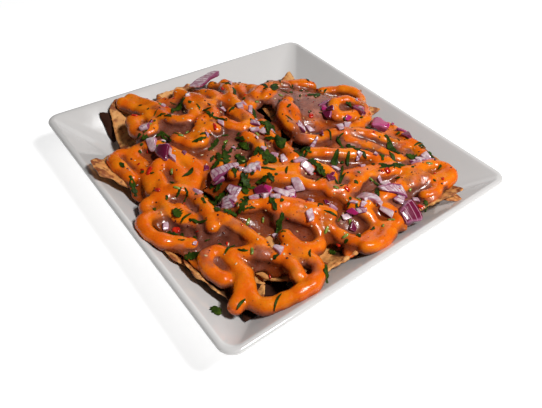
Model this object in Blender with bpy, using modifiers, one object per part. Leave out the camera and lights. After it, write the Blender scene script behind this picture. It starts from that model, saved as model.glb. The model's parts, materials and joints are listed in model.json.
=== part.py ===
"""Loaded nachos on a square deep plate.

Tortilla chips are heaped on the plate, spread with pools of bean sauce, covered with squeezed
ropes of cheese sauce and scattered with red onion. Each piece is settled onto the height map of
everything under it, so pieces rest on one another without overlapping.

Sizes in the tables are millimetres and degrees. X and Y run along the plate's sides, Z is up, and
the origin is under the plate's centre, on the surface that it stands on.
"""

import math

import bmesh
import bpy
import numpy as np
from mathutils import Matrix, Vector
from mathutils.bvhtree import BVHTree

MM = 0.001

# Plate: half widths and heights of the square-turned wall
PLATE_HALF = 130.0
PLATE_HEIGHT = 33.0
FLOOR_HALF = 99.0
FLOOR_TOP = 7.5
WALL_TOP_HALF = 124.5
WALL_THICK = 4.5
FOOT_HALF = 80.0
FOOT_WIDTH = 7.0
FOOT_HEIGHT = 3.0
RIM_CORNER = 11.0
FLOOR_CORNER = 16.0
CORNER_STEPS = 4
LIP_DROP = 1.5
WALL_SLANT = 1.35

# Food's crest: its height over the rim in the middle, its fall to the edge and its tilt to one side
HEAP_REACH = 108.0
HEAP_SQUARENESS = 3.0
CREST = 13.0
CREST_FALL = 10.0
CREST_POWER = 2.2
EDGE_DROP = 0.5
EDGE_TILT = 0.02

# Buried chips, as one solid
CORE_DEPTH = 22.5
CORE_DEPTH_MIDDLE = 16.5
CORE_MIDDLE = 0.35
CORE_BLEND = 0.15
CORE_REACH = 97.0
CORE_SQUARENESS = 4.0
CORE_CORNER_CUTS = ((135, 0.20), (225, 0.12))
CORE_CUT_SPREAD = 0.35
CORE_WAVES = ((7, 0.02), (13, 0.015))
CORE_RINGS = 6
CORE_SPOKES = 30
LEAST_CORE = 2.0

# Tortilla chips
CHIP_REACH = 37.0
CHIP_THICK = 1.8
CHIP_CORNERS = (0, 120, 240)
CHIP_OFF_CORNER = (-13, 13, 40, 80)
CHIP_RINGS = (0.4, 0.72, 1.0)
CHIP_SIDE = 0.58
CHIP_CORNER_POWER = 9.0
BED_DEPTH = 15.0
LAYER = 2.7
WALL_LAYER = 3.2
WALL_GAP = 1.5
LOWEST_LAYER = 2

# Sauces
ROPE_RADIUS = 5.0
ROPE_ROUNDNESS = 1
ROPE_STEP = 12.0
ROPE_POINT_GAP = 11.0
ROPE_BEND_GAP = 50.0
ROPE_SWELL = 0.05
ROPE_MERGE = 1.6
ROPE_STIFF = 4
ROPE_SAG = 9.0
SWELL_PACE = 0.21
TIP_SHARE = 0.5
SHOULDER_PLACE = 0.3
SHOULDER_SHARE = 0.85
POOL_SPOKES = 14
POOL_RINGS = (0.6, 1.0)
POOL_EDGE = 1.4
POOL_DRAPE = 6
POOL_WAVES = ((3, 0.10), (5, 0.06))

# Red onion
ONION_CUTS = 3
ONION_TAPER = 0.5
ONION_TAPER_POWER = 1.5
ONION_START = 80.0

# Settling
GAP = 0.6
WIDE_PEAKS = 2
WELD = 0.01
GRID_STEP = 1.0
GRID_REACH = 140.0
DROP_FROM = 200.0

# name, base colour, roughness
MATERIALS = {
    "porcelain": ((0.78, 0.76, 0.74), 0.12),
    "tortilla": ((0.62, 0.34, 0.13), 0.75),
    "cheese_sauce": ((0.90, 0.27, 0.02), 0.22),
    "bean_sauce": ((0.24, 0.09, 0.06), 0.28),
    "red_onion": ((0.52, 0.22, 0.33), 0.35),
}

# Hollows in the heap: x, y, radius, depth
HOLLOWS = (
    (-22, 12, 12, 10),
    (24, 8, 12, 10),
    (99, -86, 13, 9),
    (80, -52, 8, 7),
    (16, -72, 8, 6),
)

# Chips: name, x, y, heading of one corner, layer counted down from the bed, size
CHIPS = (
    ("chip_left_front", -40, -96, 262, 0, 1.05),
    ("chip_left_edge", -92, -67, 75, 1, 0.95),
    ("chip_back_left", -96, -22, 0, -0.6, 0.76),
    ("chip_back_corner", -57, 62, 150, 1, 1.00),
    ("chip_back_edge", -25, 85, 95, 0.2, 1.00),
    ("chip_back_low", -7, 87, 70, 2, 0.85),
    ("chip_right_corner", 96, 63, 45, 0, 1.00),
    ("chip_right_edge", 94, -34, 180, 1.1, 0.95),
    ("chip_near_curl", 85, -60, 115, -0.9, 0.80),
    ("chip_near_edge", 74, -88, 110, 0.7, 1.00),
    ("chip_front_edge", 31, -97, 88, 2, 1.00),
    ("chip_slab", -17, 44, 82, -1.6, 1.15),
    ("chip_back_right", 42, 78, 30, 1, 1.00),
    ("chip_back_far", -80, 16, 180, 1.8, 0.95),
    ("chip_right_upper", 86, 17, 60, 1.9, 0.85),
    ("chip_mid_front", -4, -78, 90, 1.0, 0.65),
)

# Pools of bean sauce: name, x, y, length, width, heading, thickness
POOLS = (
    ("bean_sauce_back", -30, 50, 92, 64, 55, 3.5),
    ("bean_sauce_left", -62, -50, 92, 64, -8, 3.5),
    ("bean_sauce_middle", 2, -22, 82, 62, 20, 3.5),
    ("bean_sauce_right", 68, 26, 100, 62, 50, 3.5),
    ("bean_sauce_front", 40, -88, 104, 44, 4, 3.0),
    ("bean_sauce_far", 30, 76, 74, 44, -10, 3.0),
)

# Cheese ropes, each squeezed from a start in equal strokes: name, x, y, heading, turn of each stroke
ROPES = (
    ("cheese_left_shore", -115, -62, 30, (0, -25, -15, 25, 30, 80, 50, -15)),
    ("cheese_left_hook", -113, -70, 30, (0, -25, -15, -20, -105, -65, 0)),
    ("cheese_left_inner", -99, -25, 30, (-10, -45, 50, -45, -90, 125, 30)),
    ("cheese_back_outer", -100, 23, 5, (0, -15, -15, 5, -10)),
    ("cheese_back_left", -103, 12, 10, (0, -30, -10, 20, 15)),
    ("cheese_back_low", -93, -10, 25, (-5, -40, -95, -100)),
    ("cheese_back_rise", -84, 30, 10, (10, 95, -45, -15, 5, -10)),
    ("cheese_back_inner", -55.5, 25, 125, (-15, -45, -15)),
    ("cheese_back_arc", -39, 90, 60, (-5, -30, -45, -40, -40, -20, 75, 25)),
    ("cheese_back_edge", 2, 98.5, -30, (-5, -35, -10)),
    ("cheese_slab_low", -29, 39, -60, (5, 40, 25)),
    ("cheese_mid_knot", -45, -6, 30, (-20, -70, -85, -45)),
    ("cheese_mid_knob", -39, -43, 15, (-55, -115, -5)),
    ("cheese_mid_front", 6, -76.5, 115, (35, 35, 20, -10, 20, 60, 90, 20)),
    ("cheese_centre_back", -18, 4, -20, (0, 35, -25, -5)),
    ("cheese_centre_low", -11, -17, 20, (-20, -45, -35)),
    ("cheese_mid_rise", 18, -48, 55, (0, 10, 5, 0, 10)),
    ("cheese_mid_ring", 35.5, -31, 55, (5, -40, 45, 45, 110)),
    ("cheese_right_rise", 17, 40, 60, (0, -5, -10, -20)),
    ("cheese_right_long", 29, 11, 55, (0, 0, 5, -25, 5)),
    ("cheese_right_fold", 68, -1, 60, (10, 55, -55, 5, -5)),
    ("cheese_right_tall", 89.5, 15, 85, (0, 10, 10, -45, -10)),
    ("cheese_right_crown", 83, 62, 85, (-5, -10, -70, -75, -50)),
    ("cheese_right_knobs", 94, 57, 75, (-15, -125, -65)),
    ("cheese_right_end", 94.5, 22.5, 30, (-25, -120, -35)),
    ("cheese_right_bow", 86, 3, 40, (-25, -70, -35, -70, -10, 20)),
    ("cheese_right_tip", 115, 11, -70, (-15, -35)),
    ("cheese_near_ridge", 45, -60, 65, (0, -15, -5, -5, 0)),
    ("cheese_near_loop", 57.5, -44, 30, (5, 0, -55, -65, -70, -35)),
    ("cheese_near_arc", 86.5, -58, 40, (-5, -45, -55, -30, -10, -10, -85, -5)),
    ("cheese_near_swell", 71, -85, 55, (0, -15, -35, -35)),
    ("cheese_near_stub", 42.5, -77.5, 25, (0, -20, 0)),
    ("cheese_near_drop", 86, -87, -50, (5, -10)),
    ("cheese_near_ring", 81, -88.5, -180, (5, 95, 85, 30)),
    ("cheese_front_hook", 47, -85, 160, (0, 15, 25, 45, 85, 50, -5)),
    ("cheese_front_loop", 17, -100, -100, (5, 80, 40, 30, -5)),
    ("cheese_left_long", -9, -99.5, 165, (0, 0, 20, 60, 105, 20, 0)),
    ("cheese_left_fold", 3.5, -78.5, 170, (-5, 30, 105, 70, -55, -50, 100)),
)

# Red onion: name, x, y, length, width, thickness, heading, bend
ONIONS = (
    ("onion_back_slice", -97, 2, 32, 9, 3.5, 110, 30),
    ("onion_back_dice", 35, 84, 13, 12, 5, 20, 30),
    ("onion_right_dice", 112, 33, 16, 13, 7, 100, 20),
    ("onion_right_stripe", 92, 38, 20, 8, 4, 60, 40),
    ("onion_right_slice", 86, 17, 20, 8, 3, 15, 50),
    ("onion_centre_stripe", 9, -50, 22, 8, 3, 75, 35),
    ("onion_centre_roll", 36, -1, 14, 10, 3, 40, 120),
    ("onion_left_dice", -32, -77, 15, 11, 6, 20, 25),
)


def new_material(name):
    """A plain Principled material in the part's colour."""
    colour, roughness = MATERIALS[name]
    material = bpy.data.materials.new(name)
    material.use_nodes = True
    shader = material.node_tree.nodes["Principled BSDF"]
    shader.inputs["Base Color"].default_value = (*colour, 1.0)
    shader.inputs["Roughness"].default_value = roughness
    shader.inputs["Metallic"].default_value = 0.0
    material.diffuse_color = (*colour, 1.0)
    return material


def link(obj):
    """Puts an object in the nachos' own collection."""
    bpy.data.collections["nachos"].objects.link(obj)
    return obj


def mesh_object(name, bm, material):
    """An object from a bmesh in millimetres."""
    bmesh.ops.recalc_face_normals(bm, faces=bm.faces)
    bmesh.ops.scale(bm, vec=Vector((MM, MM, MM)), verts=bm.verts)
    mesh = bpy.data.meshes.new(name)
    bm.to_mesh(mesh)
    bm.free()
    mesh.materials.append(bpy.data.materials[material])
    mesh.shade_smooth()
    return link(bpy.data.objects.new(name, mesh))


def loft(rings, bottom, top):
    """A closed bmesh through rings of points, with a fan to a point at each end."""
    bm = bmesh.new()
    rows = [[bm.verts.new(point) for point in ring] for ring in rings]
    for row, following in zip(rows, rows[1:]):
        for i, vert in enumerate(row):
            after = (i + 1) % len(row)
            bm.faces.new((vert, row[after], following[after], following[i]))
    for row, point in ((rows[0], bottom), (rows[-1], top)):
        tip = bm.verts.new(point)
        for i, vert in enumerate(row):
            bm.faces.new((vert, row[(i + 1) % len(row)], tip))
    return bm


# ---------------------------------------------------------------- plate


def square_ring(half, corner, height):
    """A square with rounded corners, at one height."""
    points = []
    centre = half - corner
    for quarter in range(4):
        for step in range(CORNER_STEPS + 1):
            angle = math.radians(90 * (quarter + step / CORNER_STEPS))
            x_sign = 1 if quarter in (0, 3) else -1
            y_sign = 1 if quarter in (0, 1) else -1
            x = x_sign * centre + corner * math.cos(angle)
            y = y_sign * centre + corner * math.sin(angle)
            points.append((x, y, height))
    return points


def plate_rings():
    """The wall's section as (half width, corner radius, height), from the foot out, up and in."""
    foot_inner = FOOT_HALF - FOOT_WIDTH
    lip = PLATE_HALF - WALL_TOP_HALF
    wall_top = PLATE_HEIGHT - LIP_DROP
    under = WALL_THICK * WALL_SLANT
    corner = RIM_CORNER
    return (
        (foot_inner - 2, FLOOR_CORNER, FOOT_HEIGHT),
        (foot_inner, FLOOR_CORNER, 0.0),
        (FOOT_HALF, FLOOR_CORNER, 0.0),
        (FOOT_HALF + 2, FLOOR_CORNER, FOOT_HEIGHT),
        (FLOOR_HALF + 1, FLOOR_CORNER, FOOT_HEIGHT + 0.6),
        (FLOOR_HALF + 7, FLOOR_CORNER, FLOOR_TOP + 0.5),
        (PLATE_HALF - 3, corner, wall_top - 0.7 * under),
        (PLATE_HALF - 0.4, corner, PLATE_HEIGHT - 3.6),
        (PLATE_HALF, corner, PLATE_HEIGHT - 2.2),
        (PLATE_HALF - 0.7, corner - 0.7, PLATE_HEIGHT - 0.7),
        (PLATE_HALF - 0.45 * lip, corner - 2, PLATE_HEIGHT),
        (PLATE_HALF - 0.8 * lip, corner - 3, PLATE_HEIGHT - 0.5),
        (WALL_TOP_HALF, corner - 3, wall_top),
        (FLOOR_HALF + 3.5, FLOOR_CORNER, FLOOR_TOP + 4.0),
        (FLOOR_HALF, FLOOR_CORNER, FLOOR_TOP + 1.3),
        (FLOOR_HALF - 5, FLOOR_CORNER, FLOOR_TOP),
    )


def make_plate():
    """The square deep plate, turned as one closed wall on a foot ring."""
    rings = [square_ring(*section) for section in plate_rings()]
    bm = loft(rings, (0, 0, FOOT_HEIGHT), (0, 0, FLOOR_TOP))
    return mesh_object("plate", bm, "porcelain")


# ---------------------------------------------------------------- settling


class Relief:
    """The height of the highest surface over each cell of a square grid."""

    def __init__(self):
        self.axis = np.arange(-GRID_REACH, GRID_REACH + GRID_STEP, GRID_STEP)
        self.height = np.zeros((len(self.axis), len(self.axis)))

    def cells(self, low, high):
        """The grid's index ranges inside a box."""
        starts = [int((low[k] + GRID_REACH) // GRID_STEP) for k in (0, 1)]
        ends = [int((high[k] + GRID_REACH) // GRID_STEP) + 2 for k in (0, 1)]
        last = len(self.axis)
        return [range(max(a, 0), min(b, last)) for a, b in zip(starts, ends)]

    def peaks(self, reach=1):
        """The highest of each cell's neighbours, so that thin edges aren't missed."""
        return filtered(self.height, reach, np.max)

    def drape(self, reach):
        """A skin stretched over the relief, never below it."""
        return filtered(self.peaks(reach), reach, np.mean)

    def scan(self, obj, upward):
        """The object's under or upper side over the grid, as (i, j, height)."""
        tree, low, high = world_tree(obj)
        start, way = (-1.0, 1.0) if upward else (DROP_FROM, -1.0)
        hits = []
        columns, rows = self.cells(low, high)
        for i in columns:
            for j in rows:
                origin = Vector((self.axis[i], self.axis[j], start))
                hit = tree.ray_cast(origin, Vector((0, 0, way)))[0]
                if hit:
                    hits.append((i, j, hit.z))
        return hits

    def add(self, obj):
        """Raises the relief to an object's upper side."""
        for i, j, height in self.scan(obj, upward=False):
            self.height[i, j] = max(self.height[i, j], height)

    def settle(self, obj, reach=1):
        """Moves a stiff piece up or down until it nearly touches what is under it."""
        peaks = self.peaks(reach)
        under = self.scan(obj, upward=True)
        lift = max(peaks[i, j] - height for i, j, height in under) + GAP
        obj.location.z += lift * MM
        bpy.context.view_layer.update()
        self.add(obj)

    def under_ball(self, x, y, radius):
        """The cells under a ball, and how far its surface is from its centre's height over each."""
        columns, rows = self.cells((x - radius, y - radius), (x + radius, y + radius))
        cells = (slice(columns.start, columns.stop), slice(rows.start, rows.stop))
        dx = self.axis[cells[0], None] - x
        dy = self.axis[None, cells[1]] - y
        room = radius**2 - dx**2 - dy**2
        return cells, np.where(room > 0, np.sqrt(np.maximum(room, 0.0)), -DROP_FROM)

    def add_ball(self, x, y, z, radius):
        """Raises the relief to a ball's upper side."""
        cells, half = self.under_ball(x, y, radius)
        self.height[cells] = np.maximum(self.height[cells], z + half)

    def ball_rests(self, places, radius):
        """The heights of a ball's centre as it rests at each place."""
        peaks = self.peaks()
        rests = []
        for x, y in places:
            cells, half = self.under_ball(x, y, radius)
            rests.append((peaks[cells] + half).max() + GAP)
        return rests


def filtered(grid, reach, pick):
    """Each cell replaced by the pick of the square of cells within reach."""
    for axis in (0, 1):
        rolled = [np.roll(grid, shift, axis=axis) for shift in range(-reach, reach + 1)]
        grid = pick(rolled, axis=0)
    return grid


def value_at(grid, x, y):
    """A grid's value in the cell at x, y."""
    return grid[round((x + GRID_REACH) / GRID_STEP), round((y + GRID_REACH) / GRID_STEP)]


def world_tree(obj):
    """A search tree of the evaluated object in world millimetres, and its box."""
    depsgraph = bpy.context.evaluated_depsgraph_get()
    shown = obj.evaluated_get(depsgraph)
    mesh = shown.to_mesh()
    points = [(shown.matrix_world @ vert.co) / MM for vert in mesh.vertices]
    mesh.calc_loop_triangles()
    faces = [tuple(face.vertices) for face in mesh.loop_triangles]
    shown.to_mesh_clear()
    low = [min(p[k] for p in points) for k in range(3)]
    high = [max(p[k] for p in points) for k in range(3)]
    return BVHTree.FromPolygons(points, faces), low, high


# ---------------------------------------------------------------- chips


def square_measure(x, y, reach, squareness):
    """0 at the centre and 1 on a rounded square of the given reach."""
    return ((abs(x) / reach) ** squareness + (abs(y) / reach) ** squareness) ** (1 / squareness)


def crest_height(x, y):
    """How high the food's crest stands at a point: a dome that hangs towards the near corner."""
    out = min(1.0, square_measure(x, y, HEAP_REACH, HEAP_SQUARENESS))
    dome = CREST - CREST_FALL * out**CREST_POWER
    return PLATE_HEIGHT + dome - out * (EDGE_DROP + EDGE_TILT * (x - y))


def hollow_depth(x, y):
    """How far the dark hollows between the chips sink the heap."""
    depth = 0.0
    for centre_x, centre_y, radius, deep in HOLLOWS:
        away = math.hypot(x - centre_x, y - centre_y) / radius
        depth += deep * math.exp(-(away**2))
    return depth


def core_depth(x, y):
    """How far the buried chips stay under the crest: less in the middle, where none lies over them."""
    out = square_measure(x, y, HEAP_REACH, HEAP_SQUARENESS)
    blend = min(1.0, max(0.0, (out - CORE_MIDDLE) / CORE_BLEND))
    return CORE_DEPTH_MIDDLE + (CORE_DEPTH - CORE_DEPTH_MIDDLE) * blend


def core_reach(angle):
    """The heap's reach in one direction, cut back at the two far corners."""
    c, s = math.cos(angle), math.sin(angle)
    reach = CORE_REACH / square_measure(c, s, 1.0, CORE_SQUARENESS)
    for corner, cut in CORE_CORNER_CUTS:
        off = abs(math.remainder(angle - math.radians(corner), 2 * math.pi))
        reach *= 1 - cut * math.exp(-((off / CORE_CUT_SPREAD) ** 2))
    return reach * (1 + sum(size * math.sin(count * angle) for count, size in CORE_WAVES))


def make_heap(floors):
    """The buried chips as one solid, out to the heap's uneven outline and under the chips on top."""
    angles = [2 * math.pi * k / CORE_SPOKES for k in range(CORE_SPOKES)]
    under, over = [], []
    for ring in range(1, CORE_RINGS + 1):
        lower, upper = [], []
        for angle in angles:
            reach = core_reach(angle) * ring / CORE_RINGS
            x, y = reach * math.cos(angle), reach * math.sin(angle)
            floor = value_at(floors, x, y)
            deep = core_depth(x, y) + hollow_depth(x, y)
            lower.append((x, y, floor))
            upper.append((x, y, max(crest_height(x, y) - deep, floor + LEAST_CORE)))
        under.append(lower)
        over.append(upper)
    top = crest_height(0, 0) - core_depth(0, 0) - hollow_depth(0, 0)
    bm = loft(under + over[::-1], (0, 0, FLOOR_TOP + GAP), (0, 0, top))
    return mesh_object("chip_heap", bm, "tortilla")


def chip_edge(degrees):
    """A rounded triangle's radius in one direction, as a share of the chip's reach."""
    total = 0.0
    for corner in CHIP_CORNERS:
        share = max(0.0, math.cos(math.radians(degrees - corner - 60)))
        total += share**CHIP_CORNER_POWER
    return CHIP_SIDE / total ** (1 / CHIP_CORNER_POWER)


def bed_height(floors, x, y, layer):
    """The middle of a layer of chips: under the crest, and over the plate with the layers below."""
    dome = crest_height(x, y) - BED_DEPTH - LAYER * layer
    wall = value_at(floors, x, y) + WALL_GAP + WALL_LAYER * (LOWEST_LAYER - layer)
    return max(dome, wall)


def make_chip(floors, name, x, y, heading, layer, size):
    """A thin tortilla wedge, curved along the dome and up the plate's wall."""
    bm = bmesh.new()
    rows = []
    spokes = [corner + off for corner in CHIP_CORNERS for off in CHIP_OFF_CORNER]
    for part in CHIP_RINGS:
        row = []
        for spoke in spokes:
            reach = CHIP_REACH * size * chip_edge(spoke) * part
            px = x + reach * math.cos(math.radians(heading + spoke))
            py = y + reach * math.sin(math.radians(heading + spoke))
            row.append(bm.verts.new((px, py, bed_height(floors, px, py, layer))))
        rows.append(row)
    middle = bm.verts.new((x, y, bed_height(floors, x, y, layer)))
    for k in range(len(spokes)):
        after = (k + 1) % len(spokes)
        bm.faces.new((middle, rows[0][k], rows[0][after]))
        for inner, outer in zip(rows, rows[1:]):
            bm.faces.new((inner[k], outer[k], outer[after], inner[after]))
    chip = mesh_object(name, bm, "tortilla")
    shell = chip.modifiers.new("Thickness", "SOLIDIFY")
    shell.thickness = CHIP_THICK * MM
    shell.offset = 0.0
    return chip


# ---------------------------------------------------------------- sauces


def make_pool(relief, name, x, y, length, width, heading, thick):
    """A puddle of thick sauce that follows what is under it and thins to its edge."""
    turn = math.radians(heading)
    skin = relief.drape(POOL_DRAPE) + GAP
    under, over = [], []
    for part in POOL_RINGS:
        lower, upper = [], []
        for k in range(POOL_SPOKES):
            angle = 2 * math.pi * k / POOL_SPOKES
            wave = 1.0
            for (count, size), phase in zip(POOL_WAVES, (x, y)):
                wave += size * math.sin(count * angle + phase)
            along = 0.5 * length * part * wave * math.cos(angle)
            across = 0.5 * width * part * wave * math.sin(angle)
            px = x + along * math.cos(turn) - across * math.sin(turn)
            py = y + along * math.sin(turn) + across * math.cos(turn)
            floor = value_at(skin, px, py)
            lower.append((px, py, floor))
            upper.append((px, py, floor + POOL_EDGE + (thick - POOL_EDGE) * (1 - part**2)))
        under.append(lower)
        over.append(upper)
    floor = value_at(skin, x, y)
    bm = loft(under + over[::-1], (x, y, floor), (x, y, floor + thick))
    pool = mesh_object(name, bm, "bean_sauce")
    relief.settle(pool, reach=WIDE_PEAKS)
    return pool


def squeeze_path(x, y, heading, turns):
    """Points a millimetre apart along equal strokes, each bending by its own turn."""
    angle = math.radians(heading)
    points = [Vector((x, y))]
    for turn in turns:
        bend = math.radians(turn) / ROPE_STEP
        for _ in range(int(ROPE_STEP)):
            angle += bend / 2
            x += math.cos(angle)
            y += math.sin(angle)
            angle += bend / 2
            points.append(Vector((x, y)))
    return points


def rope_points(path, turns):
    """The path thinned out to points that lie closer together where it bends."""
    spent = [0.0]
    for turn in turns:
        cost = 1 / ROPE_POINT_GAP + abs(turn) / ROPE_STEP / ROPE_BEND_GAP
        before = spent[-1]
        spent += [before + cost * (k + 1) for k in range(int(ROPE_STEP))]
    count = max(2, round(spent[-1]))
    stations = np.interp(np.linspace(0, spent[-1], count + 1), spent, range(len(path)))
    return [path[round(station)] for station in stations]


def rounded_end(points):
    """Adds the near points of a round end before the first point, as (point, share of radius)."""
    tip, following = points[0][0], points[1][0]
    inward = (following - tip).normalized() * ROPE_RADIUS
    shoulder = tip + SHOULDER_PLACE * inward
    return [(tip, TIP_SHARE), (shoulder, SHOULDER_SHARE)] + points[1:]


def rope_run(name, x, y, heading, turns):
    """One rope's plan: its knots with their share of the radius, and points a millimetre apart."""
    knots = [(point, 1.0) for point in rope_points(squeeze_path(x, y, heading, turns), turns)]
    knots = rounded_end(rounded_end(knots)[::-1])[::-1]
    walk, marks = [], []
    for (start, _), (end, _) in zip(knots, knots[1:]):
        marks.append(len(walk))
        count = max(1, math.ceil((end - start).length))
        walk += [start.lerp(end, k / count) for k in range(count)]
    marks.append(len(walk))
    walk.append(knots[-1][0])
    return {"name": name, "knots": knots, "marks": marks, "walk": np.array(walk)}


def windowed(values, reach, pick):
    """Each value replaced by the pick of its neighbours within reach."""
    last = len(values)
    return [pick(values[max(0, i - reach) : min(last, i + reach + 1)]) for i in range(last)]


def draped(relief, run):
    """The heights of a rope's points: it bridges hollows, and runs straight from knot to knot."""
    rests = relief.ball_rests(run["walk"], ROPE_RADIUS * (1 + ROPE_SWELL))
    bridge = [crest_height(x, y) - ROPE_SAG for x, y in run["walk"]]
    rests = np.maximum(windowed(windowed(rests, ROPE_STIFF, max), ROPE_STIFF, np.mean), bridge)
    marks = run["marks"]
    knots = rests[marks]
    for k, (start, end) in enumerate(zip(marks, marks[1:])):
        chord = np.linspace(knots[k], knots[k + 1], end - start + 1)
        knots[k : k + 2] += max(0.0, (rests[start : end + 1] - chord).max())
    return np.interp(range(len(rests)), marks, knots)


def run_together(one, other):
    """Whether two ropes lie so close that their sauce has flowed into one."""
    places = [np.column_stack((run["walk"], run["heights"])) for run in (one, other)]
    apart = np.linalg.norm(places[0][:, None] - places[1][None, :], axis=2)
    return apart.min() < ROPE_MERGE * ROPE_RADIUS


def rope_groups(runs):
    """The ropes sorted into groups that have flowed together."""
    groups = []
    for run in runs:
        touching = [group for group in groups if any(run_together(run, one) for one in group)]
        joined = [one for group in touching for one in group] + [run]
        groups = [group for group in groups if group not in touching] + [joined]
    return groups


def rope_mesh(run):
    """A round-ended tube along one rope's knots, as a mesh object."""
    curve = bpy.data.curves.new(run["name"], "CURVE")
    curve.dimensions = "3D"
    curve.twist_mode = "Z_UP"
    curve.bevel_depth = ROPE_RADIUS * MM
    curve.bevel_resolution = ROPE_ROUNDNESS
    curve.render_resolution_u = 0
    curve.use_fill_caps = True
    spline = curve.splines.new("POLY")
    spline.points.add(len(run["knots"]) - 1)
    for point, (place, share), mark in zip(spline.points, run["knots"], run["marks"]):
        point.co = (place.x * MM, place.y * MM, run["heights"][mark] * MM, 1.0)
        point.radius = share * (1 + ROPE_SWELL * math.sin(SWELL_PACE * mark + place.x))
    tube = link(bpy.data.objects.new(run["name"] + "_tube", curve))
    bpy.context.view_layer.update()
    shown = tube.evaluated_get(bpy.context.evaluated_depsgraph_get())
    mesh = bpy.data.meshes.new_from_object(shown)
    bm = bmesh.new()
    bm.from_mesh(mesh)
    bmesh.ops.remove_doubles(bm, verts=bm.verts, dist=WELD * MM)
    bmesh.ops.recalc_face_normals(bm, faces=bm.faces)
    bm.to_mesh(mesh)
    bm.free()
    mesh.materials.clear()
    mesh.materials.append(bpy.data.materials["cheese_sauce"])
    mesh.shade_smooth()
    bpy.data.objects.remove(tube)
    return bpy.data.objects.new(run["name"], mesh)


def make_ropes(relief, group):
    """Ropes of cheese sauce that have flowed together, draped over what is under them."""
    for run in group:
        run["heights"] = draped(relief, run)
    tubes = [rope_mesh(run) for run in group]
    whole = link(tubes[0])
    for tube in tubes[1:]:
        bpy.data.collections["cutters"].objects.link(tube)
        tube.name = tube.name + "_joined"
        tube.hide_render = True
        tube.display_type = "WIRE"
        union = whole.modifiers.new(tube.name, "BOOLEAN")
        union.operation = "UNION"
        union.object = tube
    for run in group:
        for (x, y), height in zip(run["walk"], run["heights"]):
            relief.add_ball(x, y, height, ROPE_RADIUS * (1 + ROPE_SWELL))
    return whole


# ---------------------------------------------------------------- onion


def make_onion(relief, name, x, y, length, width, thick, heading, bend):
    """A piece of an onion's layer: a slab bent about its length, laid on the food."""
    bm = bmesh.new()
    bmesh.ops.create_cube(bm, size=1.0)
    long_edges = [e for e in bm.edges if abs(e.verts[0].co.x - e.verts[1].co.x) > 0.5]
    bmesh.ops.subdivide_edges(bm, edges=long_edges, cuts=ONION_CUTS, use_grid_fill=True)
    arc = math.radians(bend)
    radius = length / arc
    for vert in bm.verts:
        along, across, up = vert.co
        angle = along * arc
        taper = 1 - ONION_TAPER * abs(along) ** ONION_TAPER_POWER
        out = radius + up * thick
        vert.co = (out * math.sin(angle), across * width * taper, out * math.cos(angle) - radius)
    piece = mesh_object(name, bm, "red_onion")
    half = 0.5 * GRID_STEP
    slope_x = crest_height(x + half, y) - crest_height(x - half, y)
    slope_y = crest_height(x, y + half) - crest_height(x, y - half)
    normal = Vector((-slope_x, -slope_y, 1)).normalized()
    turn = Matrix.Rotation(math.radians(heading), 4, "Z")
    tilt = Vector((0, 0, 1)).rotation_difference(normal).to_matrix().to_4x4()
    piece.matrix_world = Matrix.Translation(Vector((x, y, ONION_START)) * MM) @ tilt @ turn
    bpy.context.view_layer.update()
    relief.settle(piece)
    return piece


def main():
    for obj in list(bpy.data.objects):
        bpy.data.objects.remove(obj, do_unlink=True)
    for name in ("nachos", "cutters"):
        bpy.context.scene.collection.children.link(bpy.data.collections.new(name))
    for name in MATERIALS:
        new_material(name)
    relief = Relief()
    relief.add(make_plate())
    floors = relief.peaks(WIDE_PEAKS) + GAP
    relief.add(make_heap(floors))
    for chip in CHIPS:
        relief.add(make_chip(floors, *chip))
    for pool in POOLS:
        make_pool(relief, *pool)
    runs = [rope_run(*rope) for rope in ROPES]
    for run in runs:
        run["heights"] = draped(relief, run)
    for group in rope_groups(runs):
        make_ropes(relief, group)
    for onion in ONIONS:
        make_onion(relief, *onion)


main()
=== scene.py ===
"""Loaded nachos on a square deep plate: the finish of every surface.

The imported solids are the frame. Every piece is laid on them or worked out from them, in
millimetres, and is scaled to metres as its mesh is made. X and Y run along the plate's sides.
"""

import json
import math

import bmesh
import bpy
import numpy as np
from mathutils import Matrix, Vector
from mathutils.bvhtree import BVHTree

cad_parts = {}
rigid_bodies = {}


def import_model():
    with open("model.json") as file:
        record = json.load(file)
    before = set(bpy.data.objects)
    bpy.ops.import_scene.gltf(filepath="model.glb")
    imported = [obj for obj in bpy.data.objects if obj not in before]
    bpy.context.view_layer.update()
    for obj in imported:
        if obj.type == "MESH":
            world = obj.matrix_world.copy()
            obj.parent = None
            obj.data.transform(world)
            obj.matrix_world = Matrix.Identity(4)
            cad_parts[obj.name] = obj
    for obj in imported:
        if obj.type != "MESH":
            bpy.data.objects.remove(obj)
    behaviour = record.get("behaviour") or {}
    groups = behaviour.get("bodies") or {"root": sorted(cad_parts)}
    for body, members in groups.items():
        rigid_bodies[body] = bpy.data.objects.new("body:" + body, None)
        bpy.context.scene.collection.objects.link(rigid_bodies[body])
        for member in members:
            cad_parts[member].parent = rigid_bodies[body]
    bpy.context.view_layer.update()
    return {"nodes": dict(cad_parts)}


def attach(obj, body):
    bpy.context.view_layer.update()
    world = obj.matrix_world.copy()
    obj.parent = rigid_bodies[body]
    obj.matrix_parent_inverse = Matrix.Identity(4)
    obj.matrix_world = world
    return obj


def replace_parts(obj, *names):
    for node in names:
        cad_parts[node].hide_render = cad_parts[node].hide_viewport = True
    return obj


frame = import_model()

MM = 0.001
SEED = 7
RAY_TOP = 200.0

# Plate, as the solid has it
PLATE_HALF = 130.0
PLATE_HEIGHT = 33.0
FLOOR_HALF = 99.0
FLOOR_TOP = 7.5
WALL_TOP_HALF = 124.5
WALL_THICK = 4.5
FOOT_HALF = 80.0
FOOT_WIDTH = 7.0
FOOT_HEIGHT = 3.0
RIM_CORNER = 11.0
FLOOR_CORNER = 16.0
CORNER_STEPS = 8
SIDE_STEPS = 6

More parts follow.
